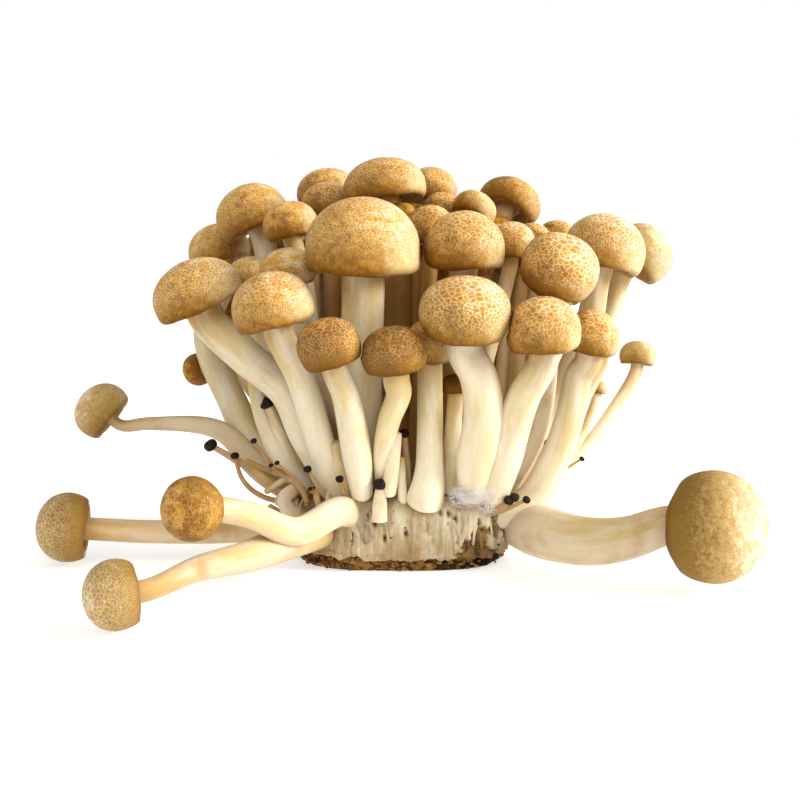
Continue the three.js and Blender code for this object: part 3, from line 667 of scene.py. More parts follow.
def crumb_brown():
    """Loose crumbs, each of its own brown."""
    brown = Finish("crumb_brown", Specular_IOR_Level=0.25)
    share, _, _ = brown.parts(brown.stored("crumb_look"))
    grain = brown.noise(brown.place(), 2200.0, 4.0, 0.7)
    base = brown.mix(tint("3f2612"), tint("a97c42"), share)
    colour = brown.mix(base, tint("d0b27e"), grain.ramp(0.55, 0.75) * 0.3)
    return brown.shade(colour, grain.ramp(0.2, 0.8, 0.7, 0.95), grain, 0.2 * MM)


def bud_skin():
    """The nearly black skin of a pinhead."""
    skin = Finish("bud_skin", Specular_IOR_Level=0.22)
    place = skin.place()
    mottle = skin.noise(place, 900.0, 4.0)
    pores = skin.cells(place, 3500.0)
    colour = skin.mix(tint("150a03"), tint("35200b"), mottle.ramp(0.42, 0.78))
    return skin.shade(colour, mottle.ramp(0.2, 0.8, 0.45, 0.65), pores, 0.08 * MM)


def pale_floor():
    """Matt off-white studio board with a fine tooth."""
    board = Finish("pale_floor", Specular_IOR_Level=0.1, Emission_Color=(1, 1, 1, 1),
                   Emission_Strength=0.58)
    tooth = board.noise(board.place(), 300.0, 3.0)
    colour = board.mix(tint("d0cfcc"), tint("d5d4d2"), tooth)
    return board.shade(colour, tooth.ramp(0.2, 0.8, 0.85, 0.95), tooth, 0.02 * MM)


# ---------------------------------------------------------------- caps: what the solids say
WELD = 0.002 * MM  # corners that are nearer than this are one
FLAT = math.radians(0.5)  # faces that turn less than this are one
LEAST_CORNERS = 8  # a round face has at least so many corners
MOST_UNEVEN = 1.02  # its farthest corner's reach from its middle against its nearest one's


class Cap:
    """Where a cap's rim is, which way it faces and how large it is, measured on its plain solid."""

    def __init__(self, name):
        self.name = name
        self.node = f"cap_{name}"
        self.region = name.split("_")[0]
        solid = bmesh.new()
        solid.from_mesh(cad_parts[self.node].data)
        bmesh.ops.remove_doubles(solid, verts=solid.verts, dist=WELD)
        corners = np.array([vertex.co for vertex in solid.verts])
        bmesh.ops.dissolve_limit(solid, angle_limit=FLAT, verts=solid.verts, edges=solid.edges)
        seat, self.seat_radius, outward = max(filter(None, map(round_face, solid.faces)), key=lambda f: f[1])
        solid.free()
        self.axis = -outward
        heights = (corners - np.array(seat)) @ np.array(self.axis)
        spread = corners - np.array(seat) - np.outer(heights, self.axis)
        self.tall = -heights.min() / SEAT_RISE
        self.radius = np.linalg.norm(spread, axis=1).max()
        self.rim = seat - self.axis * (SEAT_RISE * self.tall)
        self.heart = Vector(corners.mean(axis=0))
        self.neck = self.seat_radius - SEAT_MARGIN
        self.seat = seat


def round_face(face):
    """(middle, radius, normal) of a face whose corners lie on a circle, or None."""
    if len(face.verts) < LEAST_CORNERS:
        return None
    middle = face.calc_center_median()
    reaches = [(vertex.co - middle).length for vertex in face.verts]
    if max(reaches) > MOST_UNEVEN * min(reaches):
        return None
    return middle, sum(reaches) / len(reaches), face.normal.copy()


# ---------------------------------------------------------------- caps: the fine skin
WIDEST = 0.33  # height of a cap's widest ring, as a share of its height
LIP_REACH = 0.84  # middle of the rolled lip, as a share of the radius
GILL_REACH = 0.755  # outer end of the gills
MASTER_SEAT = 0.34  # the master's seat radius: each copy gets its own
UNDERSIDE = (0.835, 0.4)  # what is nearer the axis and lower than this, in shares, is the underside
GILL_DEPTH = 0.13  # depth of a gill, as a share of the cap's height
GILL_ARCH = 0.13  # how far the gills arch up between the lip and the stem
GILL_FALL = 0.075  # how much lower their edges are at the lip than at the stem
GILL_ROOM = 0.003  # so far outside their reach a point still counts as theirs
DRAWN_IN = 0.1  # how far the roundest cap's lip is drawn in, as a share of the radius
SWOLLEN = 0.08  # how much its dome swells, as a share of its height
# painted shade where caps press together, and the gaps at which it is counted
PAINTED_CROWD_SHADE = 0.5  # how much darker the skin is where other caps stand close
CROWD_SHADE_GAPS = [gap * MM for gap in (0.4, 0.8, 1.3, 1.9, 2.6, 3.4)]
GILL_COUNTS = ((17 * MM, 144), (12 * MM, 112), (0, 80))  # edges and grooves for caps this wide or more


def cap_stations():
    """(radius, height) down the dome, round the lip, and in along the gills to the seat."""
    dome = [(math.cos(a), WIDEST + (1 - WIDEST) * math.sin(a)) for a in np.radians(np.linspace(88, 0, 22))]
    roll = [
        (LIP_REACH + (1 - LIP_REACH) * math.cos(a), WIDEST - WIDEST * math.sin(a))
        for a in np.radians(np.linspace(15, 90, 7))
    ]
    curl = [(0.805, 0.008), (0.782, 0.035), (0.768, 0.08), (0.76, 0.12)]
    gills = [(MASTER_SEAT + (GILL_REACH - MASTER_SEAT) * u, 0.13) for u in np.linspace(1, 0, 8)]
    return dome + roll + curl + gills + [(0.5 * MASTER_SEAT, 0.13)]


def skin_lengths(radius, tall):
    """A table of distance along the skin from the crown, against the angle down from it."""
    angles = np.linspace(0, math.pi / 2, 60)
    run = np.stack([radius * np.sin(angles), (1 - WIDEST) * tall * np.cos(angles)], 1)
    lengths = np.concatenate([[0], np.cumsum(np.linalg.norm(np.diff(run, axis=0), axis=1))])
    return angles, lengths


def with_gills(reach, rise, angle, under, seat, steps):
    """Sinks every other spoke of the underside into a groove, and draws the spokes in to the cap's own
    seat. Also says which points are on a gill, and how deep they are sunk."""
    share = np.clip((reach - MASTER_SEAT) / (GILL_REACH - MASTER_SEAT), 0, 1)
    gilled = under & (reach < GILL_REACH + GILL_ROOM)
    own_reach = np.where(reach < MASTER_SEAT, reach * seat / MASTER_SEAT, seat + (GILL_REACH - seat) * share)
    spoke = np.rint(angle / TURN * steps).astype(int)
    groove = np.where(spoke % 2 == 0, 1.0, 0.0)
    edge_height = SEAT_RISE - GILL_FALL * share + GILL_ARCH * np.sin(math.pi * share)
    depth = GILL_DEPTH * groove * np.clip(4 * share * (1 - share), 0, 1) ** 0.4
    return np.where(gilled, own_reach, reach), np.where(gilled, edge_height + depth, rise), gilled, depth


def rounded(reach, rise, under, seat, roundness):
    """A rounder cap is widest higher up and draws in more below. One under 0 has a crisp rim."""
    drawn_in = DRAWN_IN * roundness * (1 - np.clip(rise / WIDEST, 0, 1)) ** 1.3
    reach = np.minimum(reach * np.where(reach > seat, 1 - drawn_in, 1), 1)
    swollen = SWOLLEN * max(roundness, 0) * np.sin(math.pi * np.clip(rise, 0, 1))
    return reach, np.where(under, rise, rise + swollen)


def uneven(reach, rise, angle, dice):
    """Low irregularities: the outline's waves, the dome's lean, and the level of the rim."""
    phases = [dice.uniform(0, TURN) for _ in range(6)]
    outline = 1 - 0.012 * (1 + np.sin(2 * angle + phases[0])) - 0.007 * (1 + np.sin(3 * angle + phases[1]))
    outline -= 0.004 * (1 + np.sin(7 * angle + phases[2]))
    low = 1 - smoothstep(rise, 0.0, 0.55)
    wave = 0.022 * np.sin(2 * angle + phases[3]) + 0.014 * np.sin(3 * angle + phases[4])
    wave += 0.006 * np.sin(8 * angle + phases[5])
    rise = rise + low * wave * smoothstep(reach, 0.5, 0.9)
    lean = 1 - 0.03 * np.clip(rise, 0, 1) * np.sin(angle + phases[1])
    return outline, lean, rise


def unrolled(cap, reach, rise, angle, under):
    """Where each point is on the unrolled skin, in mm, crowded towards the margin so that the net is
    finer there. Also its share of the way from the crown to the margin."""
    down = np.arctan2(reach, np.clip((rise - WIDEST) / (1 - WIDEST), 0, None))
    angles, lengths = skin_lengths(cap.radius, cap.tall)
    slid = np.interp(down, angles, lengths) + np.clip(WIDEST - rise, 0, None) * cap.tall * ~under
    whole = lengths[-1] + WIDEST * cap.tall
    crowded = slid * (1 + 1.1 * slid / whole)
    flat = np.stack([crowded * np.cos(angle), crowded * np.sin(angle), np.zeros_like(angle)], 1)
    return flat / MM, slid / whole


def tones_and_painted_light(cap, tone, world, rise, caps):
    """How dark the skin is at each point, with painted light: a painted highlight on the side towards the key
    lamp and at the very top, and painted shade low down away from the lamp, just left of the middle, and
    where other caps stand close."""
    across = (world[:, 0] - cap.rim.x) / cap.radius
    tones = tone - 0.45 * smoothstep(across, 0.0, 0.95) + 0.16 * np.exp(-(((across + 0.35) / 0.35) ** 2))
    tones += PAINTED_CROWD_SHADE * crowd_shade_share(world, cap, caps) - 0.25 * smoothstep(rise, 0.65, 1.0)
    return tones + 0.3 * (1 - smoothstep(rise, 0.05, 0.5)) * (1 - smoothstep(across, 0.0, 0.7))


def fit_cap(piece, cap, steps, dice, earlier, caps):
    """Gives a copy of the master cap its gills, its size and place, and the marks its skin reads."""
    master = points_of(piece)
    angle = np.arctan2(master[:, 1], master[:, 0])
    reach, rise = np.hypot(master[:, 0], master[:, 1]), master[:, 2]
    under = (reach < UNDERSIDE[0]) & (rise < UNDERSIDE[1])
    seat = cap.seat_radius / cap.radius
    tone, net, roundness = CAP_LOOK.get(cap.name, REGION_LOOK[cap.region])
    reach, rise, gilled, depth = with_gills(reach, rise, angle, under, seat, steps)
    reach, rise = rounded(reach, rise, under, seat, roundness)
    outline, lean, rise = uneven(reach, rise, angle, dice)
    out = cap.radius * reach * outline * lean
    local = np.stack([out * np.cos(angle), out * np.sin(angle), cap.tall * rise], 1)

    flat, down_share = unrolled(cap, reach, rise, angle, under)
    gill_place = np.stack([angle * 12, reach * 10, rise * 10], 1)
    finer = 1 + 0.9 * (1 - net)
    shift = np.array([dice.uniform(-90, 90) for _ in range(3)])
    store(piece, "skin_place", np.where(under[:, None], gill_place, flat * finer) + shift)
    if cap.name not in CAP_LOOK:
        tone = min(1, max(0, tone + dice.uniform(-LOOK_SPREAD, LOOK_SPREAD)))
        net = min(1, max(0, net + dice.uniform(-LOOK_SPREAD, LOOK_SPREAD)))

    basis = np.array([*frame_round(cap.axis), cap.axis])
    world = pressed(local @ basis + np.array(cap.rim), cap, earlier)
    # the skin's own tone plus painted highlight and painted shade
    tones = tones_and_painted_light(cap, tone, world, rise, caps)
    # under the cap, the first mark is how deep a point lies between the gills, for painted shade
    look = np.where(under, np.where(gilled, depth / GILL_DEPTH * 0.6, 0.25), down_share)
    store(piece, "skin_look", np.stack([look, tones, np.full_like(look, net)], 1))
    set_points(piece, np.clip(world, np.array(cad_box[0]) + EDGE_ROOM, np.array(cad_box[1]) - EDGE_ROOM))


def inside(points, cap, gap):
    """Which points are inside a cap's smooth shape, grown by a gap."""
    offset = points - np.array(cap.rim)
    height = offset @ np.array(cap.axis)
    reach = np.linalg.norm(offset - np.outer(height, cap.axis), axis=1)
    above = np.clip((height - WIDEST * cap.tall) / ((1 - WIDEST) * cap.tall + gap), 0, 1)
    below = np.clip((WIDEST * cap.tall - height) / (WIDEST * cap.tall + gap), 0, 1)
    limit = (cap.radius + gap) * np.sqrt(1 - above**2)
    limit -= (1 - LIP_REACH) * cap.radius * (1 - np.sqrt(1 - below**2))
    floor = np.interp(reach / cap.radius, [0.4, GILL_REACH, LIP_REACH], [SEAT_RISE, 0.06, 0.0]) * cap.tall
    return (reach < limit) & (height > floor - gap) & (height < cap.tall + gap)


def crowd_shade_share(points, cap, caps):
    """How closely other caps stand round each point, from 0 to 1: where the skin takes painted shade."""
    close = np.zeros(len(points))
    for neighbour in caps:
        if neighbour is cap or far_apart(cap, neighbour):
            continue
        for gap in CROWD_SHADE_GAPS:
            close += inside(points, neighbour, gap)
    return np.clip(close / len(CROWD_SHADE_GAPS), 0, 1)


def far_apart(cap, neighbour):
    return (neighbour.rim - cap.rim).length > 1.6 * (neighbour.radius + cap.radius)


def pressed(points, cap, earlier):
    """Points of a cap drawn in towards its heart where an earlier neighbour presses on it."""
    heart = np.array(cap.heart)
    for neighbour in earlier:
        if far_apart(cap, neighbour):
            continue
        caught = inside(points, neighbour, PRESS_GAP)
        if not caught.any():
            continue
        spokes = points[caught] - heart
        kept, lost = np.zeros(len(spokes)), np.ones(len(spokes))
        for _ in range(PRESS_HALVINGS):
            middle = (kept + lost) / 2
            hit = inside(heart + spokes * middle[:, None], neighbour, PRESS_GAP)
            lost = np.where(hit, middle, lost)
            kept = np.where(hit, kept, middle)
        points = points.copy()
        points[caught] = heart + spokes * kept[:, None]
    return points


def make_caps():
    golden, beige = cap_skin("cap_skin", GOLDEN, 0.34), cap_skin("pale_cap_skin", BEIGE, 0.16)
    gills = gill_flesh()
    masters = {
        steps: ring_stack(f"master_cap_{steps}", steps, cap_stations()) for _, steps in GILL_COUNTS
    }
    caps = [Cap(name) for name in NAMES]
    dice = random.Random(7)
    for index, cap in enumerate(caps):
        steps = next(count for wide, count in GILL_COUNTS if 2 * cap.radius > wide)
        piece = copy_of(masters[steps], f"mushroom_cap_{cap.name}")
        middles = face_middles(piece)
        below = (np.hypot(middles[:, 0], middles[:, 1]) < LIP_REACH - 0.01) & (middles[:, 2] < UNDERSIDE[1])
        fit_cap(piece, cap, steps, dice, caps[:index], caps)
        piece.data.materials.append(beige if cap.name in PALE_CAPS else golden)
        piece.data.materials.append(gills)
        piece.data.polygons.foreach_set("material_index", below.astype(np.int32))
        smooth_shaded(piece, 50)
        hand_over(piece, "cap_skin", cap.node)
    for master in masters.values():
        bpy.data.objects.remove(master)
    return caps, golden


def face_middles(piece):
    flat = np.empty(3 * len(piece.data.polygons))
    piece.data.polygons.foreach_get("center", flat)
    return flat.reshape(-1, 3)


# ---------------------------------------------------------------- stems, runts and threads
def smooth_line(points, count):
    """Evenly spaced points on the smooth line that passes through all the points given."""
    points = [Vector(point) for point in points]
    padded = [2 * points[0] - points[1], *points, 2 * points[-1] - points[-2]]
    track = []
    for before, start, end, after in zip(padded, padded[1:], padded[2:], padded[3:]):
        pairs = ((before, start), (start, end), (end, after))
        gaps = [math.sqrt(max((b - a).length, 1e-9)) for a, b in pairs]
        leave = (start - before) / gaps[0] - (end - before) / (gaps[0] + gaps[1]) + (end - start) / gaps[1]
        reach = (end - start) / gaps[1] - (after - start) / (gaps[1] + gaps[2]) + (after - end) / gaps[2]
        leave, reach = leave * gaps[1], reach * gaps[1]
        for t in np.linspace(0, 1, 40, endpoint=False):
            bend = (2 * start - 2 * end + leave + reach) * t**3
            track.append(start + leave * t + (3 * end - 3 * start - 2 * leave - reach) * t**2 + bend)
    track = np.array([*track, points[-1]])
    lengths = np.concatenate([[0], np.cumsum(np.linalg.norm(np.diff(track, axis=0), axis=1))])
    even = np.linspace(0, lengths[-1], count)
    return np.stack([np.interp(even, lengths, track[:, k]) for k in range(3)], 1), lengths[-1]


def carried_frames(line):
    """Two directions square to a line at each of its points, turning as little as they can."""
    runs = np.gradient(line, axis=0)
    runs /= np.linalg.norm(runs, axis=1)[:, None]
    side = np.array(frame_round(runs[0])[0])
    sides = []
    for run in runs:
        side = side - run * (side @ run)
        side /= np.linalg.norm(side)
        sides.append(side)
    sides = np.array(sides)
    return sides, np.cross(runs, sides)


def lay_along(piece, points, radius_at, dice, tone=0.0, wobble=0.04, foot_tone=0.0):
    """Lays a copy of a master rod, which stands on z from 0 to 1 with radius 1, along a line."""
    rod = points_of(piece)
    share, around = rod[:, 2], np.arctan2(rod[:, 1], rod[:, 0])
    line, length = smooth_line(points, 160)
    sides, fronts = carried_frames(line)
    where = share * (len(line) - 1)
    low = np.clip(where.astype(int), 0, len(line) - 2)
    part = (where - low)[:, None]

    def along(values):
        return values[low] * (1 - part) + values[low + 1] * part

    phases = [dice.uniform(0, TURN) for _ in range(4)]
    uneven = 1 + wobble * np.sin(2 * around + phases[0] + 2.2 * share)
    uneven += 0.5 * wobble * np.sin(3 * around + phases[1] - 3.1 * share)
    uneven += 0.6 * wobble * np.sin(9 * share + phases[2]) * (1 - share)
    reach = radius_at(share) * uneven
    placed = along(line) + along(sides) * (rod[:, :1] * reach[:, None])
    placed += along(fronts) * (rod[:, 1:2] * reach[:, None])
    set_points(piece, placed)
    shift = np.array([dice.uniform(-200, 200) for _ in range(3)])
    thick = float(np.mean(radius_at(np.linspace(0, 1, 9)))) / MM
    place = np.stack([rod[:, 0] * thick, rod[:, 1] * thick, share * length / MM], 1)
    store(piece, "fibre_place", place + shift)
    # painted shade: the stems in the middle of the cluster are darker from 18 mm up
    inward = 1 - smoothstep(np.hypot(placed[:, 0], placed[:, 1] + 2 * MM), 12 * MM, 25 * MM)
    shade = inward * smoothstep(placed[:, 2], 18 * MM, 34 * MM)
    tones = tone + foot_tone * (1 - smoothstep(share, 0.06, 0.34))
    store(piece, "fibre_look", np.stack([share, tones, shade], 1))


def rod_stations(count, foot, tip):
    """(radius, height) of an upright rod of radius 1 and height 1 with round ends, so long each."""
    rounding = np.radians([12, 32, 52, 70, 84])
    low = [(math.sin(a), foot * (1 - math.cos(a))) for a in rounding]
    high = [(math.sin(a), 1 - tip * (1 - math.cos(a))) for a in rounding[::-1]]
    shaft = [(1.0, h) for h in np.linspace(foot, 1 - tip, count)]
    return low + shaft + high


def stem_points(cap):
    """A stem's points: its root, those on the way, and the last two square into its cap's seat."""
    _, root, via = STEM_ROUTES.get(cap.name, (None, None, []))
    root = metres((*root, 0)) if root else Vector((cap.rim.x, cap.rim.y, 0)) * ROOT_SPREAD
    root.z = ROOT_DEPTH
    sunk = cap.seat + cap.axis * 0.05 * cap.tall
    points = [root, *map(metres, via), cap.seat - cap.axis * 0.45 * cap.tall, sunk]
    if cap.name in SHOWN_FEET and cap.region == "front":
        height = SHOWN_FEET[cap.name][0] * MM
        rise = (height - root.z) / (points[1].z - root.z)
        points[0] = root.lerp(points[1], rise)
    return points


def stem_radius(cap):
    bulge = STEM_ROUTES.get(cap.name, (STEM_BULGE,))[0]
    foot = SHOWN_FEET.get(cap.name, (0, 1))[1]

    def radius_at(share):
        slim = 0.5 - 0.5 * np.cos(math.pi * np.clip((share - 0.15) / 0.85, 0, 1))
        flare = 0.1 * smoothstep(share, 0.95, 1.0)
        ankle = foot + (1 - foot) * smoothstep(share, 0.0, 0.34)
        return cap.neck * (bulge + (1 - bulge) * slim + flare) * ankle

    return radius_at


def make_stems(caps):
    flesh = stem_flesh()
    master = ring_stack("master_stem", 28, rod_stations(46, 0.05, 0.004))
    dice = random.Random(11)
    for region in REGIONS:
        stems = []
        for cap in caps:
            if cap.region != region:
                continue
            stem = copy_of(master, f"stem_{cap.name}")
            tone = STEM_TONES.get(cap.name, REGION_TONES[region]) + dice.uniform(0, 0.08)
            foot_tone = FOOT_TONES.get(cap.name, REGION_FOOT_TONES.get(region, FOOT_TONE))
            lay_along(stem, stem_points(cap), stem_radius(cap), dice, tone, foot_tone=foot_tone)
            stems.append(stem)
        finish_piece(f"{region}_stems", stems, flesh, "stem_flesh")
    bpy.data.objects.remove(master)
    return flesh


def tapered(radius, foot=1.15, tip=0.85):
    return lambda share: radius * (foot + (tip - foot) * share**2)


def bud(name, middle, axis, radius, dice, conical=False):
    """A dark head: a squat drum with round edges, or a small cone."""
    pick_nothing()
    bpy.ops.mesh.primitive_uv_sphere_add(segments=24, ring_count=16, radius=1)
    piece = bpy.context.view_layer.objects.active
    piece.name = name
    points = points_of(piece)
    reach = np.hypot(points[:, 0], points[:, 1])
    around = np.arctan2(points[:, 1], points[:, 0])
    height = points[:, 2]
    if conical:
        reach = 1.25 * np.sqrt(reach) * (1 - 0.8 * smoothstep(height, -0.5, 1.0))
        height = 0.9 * height + 0.5
    else:
        reach = 1.08 * reach**0.78
        height = 0.85 * np.sign(height) * np.abs(height) ** 0.9
    reach = reach * (1 + 0.05 * np.sin(3 * around + dice.uniform(0, TURN)))
    shaped = np.stack([reach * np.cos(around), reach * np.sin(around), height], 1) * radius
    side, front = frame_round(axis)
    set_points(piece, shaped @ np.array([side, front, Vector(axis).normalized()]) + np.array(middle))
    return piece


def make_runts_and_pins(flesh):
    """Stunted stems with blunt or dark tips, dark pinheads on bent threads, and loose rootlets."""
    master = ring_stack("master_thread", 16, rod_stations(24, 0.05, 0.035))
    dice = random.Random(23)
    runts, threads, rootlets, buds = [], [], [], []
    for number, (root, tip, radius, head) in enumerate(RUNTS):
        root, tip = metres(root), metres(tip)
        sag = (root + tip) / 2 - UP * 0.06 * (tip - root).length
        runt = copy_of(master, f"runt_{number}")
        tone = RUNT_TONES.get(number, RUNT_TONE)
        lay_along(runt, [root, sag, tip], tapered(radius * MM), dice, tone, 0.06)
        runts.append(runt)
        if head:
            conical = number == CONICAL_RUNT
            buds.append(bud(f"runt_bud_{number}", tip, tip - root, head * MM, dice, conical))
    for number, (radius, points) in enumerate(PINS):
        points = [metres(point) for point in points]
        thread = copy_of(master, f"thread_{number}")
        lay_along(thread, points, tapered(0.5 * radius * MM, 1.5, 0.8), dice, THREAD_TONE, 0.1)
        threads.append(thread)
        lean = (points[-1] - points[-2]).normalized() + 0.6 * UP
        buds.append(bud(f"pin_bud_{number}", points[-1], lean, radius * MM, dice))

    foot, head, radius = metres(BUTTON[0]), metres(BUTTON[1]), BUTTON[2] * MM
    cone = copy_of(master, "button_cone")
    lay_along(cone, [foot, (foot + head) / 2, head], tapered(radius, 1.2, 0.55), dice, CONE_TONE, 0.1)
    threads.append(cone)
    buds.append(bud("button_bud", head, (0, -0.15, 1), radius, dice))

    for number, (radius, tone, points) in enumerate(ROOTLETS):
        rootlet = copy_of(master, f"rootlet_{number}")
        thickness = tapered(radius * MM, 1.1, 0.8)
        lay_along(rootlet, list(map(metres, points)), thickness, dice, 0.25 + tone * 0.55, 0.12)
        rootlets.append(rootlet)
    for number in range(SHOULDER_ROOTLETS):
        rootlet = copy_of(master, f"shoulder_rootlet_{number}")
        turn = dice.uniform(-0.15, 1.35) * math.pi
        points = curled_root(turn, dice)
        thickness = tapered(dice.uniform(0.35, 0.95) * MM, 1.1, 0.7)
        lay_along(rootlet, points, thickness, dice, dice.uniform(0.15, 0.75), 0.12)
        rootlets.append(rootlet)
    bpy.data.objects.remove(master)
    finish_piece("runts", runts, flesh, "stem_flesh")
    finish_piece("pin_threads", threads, flesh, "stem_flesh")
    finish_piece("rootlets", rootlets, flesh, "stem_flesh")
    finish_piece("pin_heads", buds, bud_skin(), "cap_skin")


def ceiling_over(spot, caps):
    """How high a young mushroom at a spot may stand under the grown caps."""
    reaches = [(cap, (Vector((cap.rim.x, cap.rim.y, 0)) - spot).length) for cap in caps]
    over = [cap.rim.z for cap, away in reaches if away < cap.radius + 2 * MM]
    ceiling = min(over) - YOUNG_HEADROOM if over else YOUNG_HIGHEST
    return max(ceiling, YOUNG_LOWEST)


def make_young_ones(caps, skin, flesh):
    """Young mushrooms that never got past the grown ones' caps: they fill the dark middle."""
    master = ring_stack("master_young", 20, rod_stations(30, 0.05, 0.02))
    dice = random.Random(61)
    stems, heads = [], []
    for number in range(YOUNG_ROWS * YOUNG_IN_A_ROW):
        row, place_in_row = divmod(number, YOUNG_IN_A_ROW)
        across = YOUNG_LEFT + YOUNG_LENGTH * (place_in_row + dice.uniform(0.2, 0.8)) / YOUNG_IN_A_ROW
        spot = metres((across, dice.uniform(0, YOUNG_STRAY) + YOUNG_ROW_GAP * row, 0))
        top = Vector((spot.x, spot.y, ceiling_over(spot, caps)))
        root = Vector((spot.x * 0.5, spot.y * 0.5, ROOT_DEPTH))
        middle = Vector((spot.x * 0.9, spot.y * 0.9, 0.45 * top.z))
        stem = copy_of(master, f"young_stem_{number}")
        radius = dice.uniform(2.0, 2.8) * MM
        # the brown tone of the young stems is painted shade for the dark middle
        lay_along(stem, [root, middle, top], tapered(radius, 1.1, 0.9), dice, dice.uniform(0.5, 0.8))
        stems.append(stem)
        head = bud(f"young_head_{number}", top, UP, radius * 1.25, dice)
        place = points_of(head) / MM
        store(head, "skin_place", place)
        store(head, "skin_look", np.full_like(place, 1.0) * YOUNG_LOOK)
        heads.append(head)
    bpy.data.objects.remove(master)
    finish_piece("young_stems", stems, flesh, "stem_flesh")
    finish_piece("young_heads", heads, skin, "stem_flesh")


def curled_root(turn, dice):
    """The points of a loose root that leaves the root mass's shoulder at an angle and curls down."""
    half_x, half_y, _ = foot_size()
    outward = Vector((math.cos(turn), math.sin(turn), 0))
    along = UP.cross(outward)
    edge = Vector((half_x * outward.x, half_y * outward.y, 0)) * float(squared(turn))
    start = edge * 0.72 + UP * dice.uniform(13, 17) * MM
    sway = along * dice.uniform(-4, 4) * MM
    over = edge * 0.97 + UP * dice.uniform(13, 16) * MM + sway * 0.6
    end = edge * dice.uniform(1.02, 1.1) + UP * dice.uniform(8, 13) * MM + sway
    return [start, over, end]


# ---------------------------------------------------------------- base
def foot_size():
    _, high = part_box("substrate_foot")
    return high.x, high.y, high.z


def fractal(points, frequency, octaves=4, roughness=0.8):
    return np.array([noise.fractal(Vector(point) * frequency, roughness, 2.1, octaves) for point in points])


def wall_reach(angle):
    """How far out the root mass's upright wall is, at an angle."""
    half_x, half_y, _ = foot_size()
    oval = np.hypot(half_x * np.cos(angle), half_y * np.sin(angle))
    return CROWN_OVER_FOOT * squared(angle) * oval


def break_share(x, z, ragged):
    """How brown and broken the front of the root mass is at a point across and up."""
    (x0, z0), (x1, z1) = BREAK
    run = Vector((x1 - x0, z1 - z0)).normalized()
    beyond = (x / MM - x0) * run.y - (z / MM - z0) * run.x
    corner_x, corner_z, corner_radius = SOUND_CORNER
    corner = np.hypot(x / MM - corner_x, z / MM - corner_z) + 2.2 * ragged
    return smoothstep(beyond + 2.6 * ragged, -0.4, 0.9) * smoothstep(corner, corner_radius - 1, corner_radius)


def make_crown():
    """The root mass: an upright block of matted threads, pitted, and broken at one corner."""
    _, half_y, foot_top = foot_size()
    wall = [(1.0, h) for h in np.linspace(0.0, CROWN_WALL, 44)]
    turns = np.radians(np.linspace(8, 82, 12))
    shoulder = [(0.6 + 0.4 * math.cos(a) ** 0.9, CROWN_WALL + 0.26 * math.sin(a)) for a in turns]
    top = [(r, 1.0) for r in (0.5, 0.36, 0.2)]
    crown = ring_stack("crown", 320, [(0.9, 0.0)] + wall + shoulder + top)
    unit = points_of(crown)
    angle = np.arctan2(unit[:, 1], unit[:, 0])
    reach, share = np.hypot(unit[:, 0], unit[:, 1]), unit[:, 2]
    around = np.stack([np.cos(angle), np.sin(angle), share], 1)
    furrows = fractal(around * (16, 16, 1.3), 1.0)
    clumps = fractal(around * (4, 4, 2.2) + (3, 0, 7), 1.0, 2)
    ragged = fractal(around * (9, 9, 6) + (0, 5, 0), 1.0, 3)
    hem = (HEM_HEIGHT + HEM_WAVE * ragged + 0.5 * MM * np.cos(angle + 2.6)) * (1 - smoothstep(share, 0, 0.3))
    height = hem + share * CROWN_TOP + (1 - smoothstep(share, 0, 0.3)) * share * foot_top * 0.2
    height += np.where(share > 0.7, clumps * 1.2 * MM, 0)
    wobble = 1 + 0.014 * furrows + 0.012 * clumps
    out = reach * wobble * wall_reach(angle) - 0.35 * MM * (1 - smoothstep(share, 0, 0.08))
    x, y = out * np.cos(angle), out * np.sin(angle)

    # the marks that its material reads: where it is broken, the pits, whose dark is painted shade, and
    # painted shade on its top between the stems and on the left shoulder
    front = smoothstep(-y, 0.55 * half_y, 0.8 * half_y)
    elsewhere = smoothstep(clumps + 0.3 * ragged, 0.18, 0.32)
    broken = break_share(x, height, ragged) * front + elsewhere * (1 - front)
    pit = np.zeros_like(x)
    dice = random.Random(29)
    holes = [(math.atan2(-half_y, px * MM), pz, 1.0) for px, pz in PITS]
    for _ in range(BACK_PITS):
        holes.append((dice.uniform(-0.2, 1.2) * math.pi, dice.uniform(6, 15), dice.uniform(0.5, 1.0)))
    for turn, level, strength in holes:
        spot = wall_reach(turn) * np.array([math.cos(turn), math.sin(turn)])
        near = np.hypot(x - spot[0], y - spot[1]) / (0.55 * MM)
        tall = np.abs(height / MM - level) / 0.95
        pit = np.maximum(pit, strength * np.exp(-(near**2) - tall**2))
    deep = smoothstep(share, 0.8, 0.97) * smoothstep(-reach, -0.97, -0.8)
    # painted shade in the tangle on the left shoulder
    left_shoulder_shade = smoothstep(-x, 15 * MM, 22 * MM) * smoothstep(height, 11 * MM, 15 * MM)
    deep = np.maximum(deep, 0.85 * left_shoulder_shade)
    store(crown, "root_look", np.stack([broken, pit, deep], 1))
    matted = root_flesh()
    sunk = out - PIT_DEPTH * pit - BREAK_DEPTH * broken * (1 + ragged) * (share < CROWN_WALL)
    set_points(crown, np.stack([sunk * np.cos(angle), sunk * np.sin(angle), height], 1))
    finish_piece("crown", [crown], matted, "stem_flesh", "stem_cluster")
    grow_strands(matted, half_y, dice)


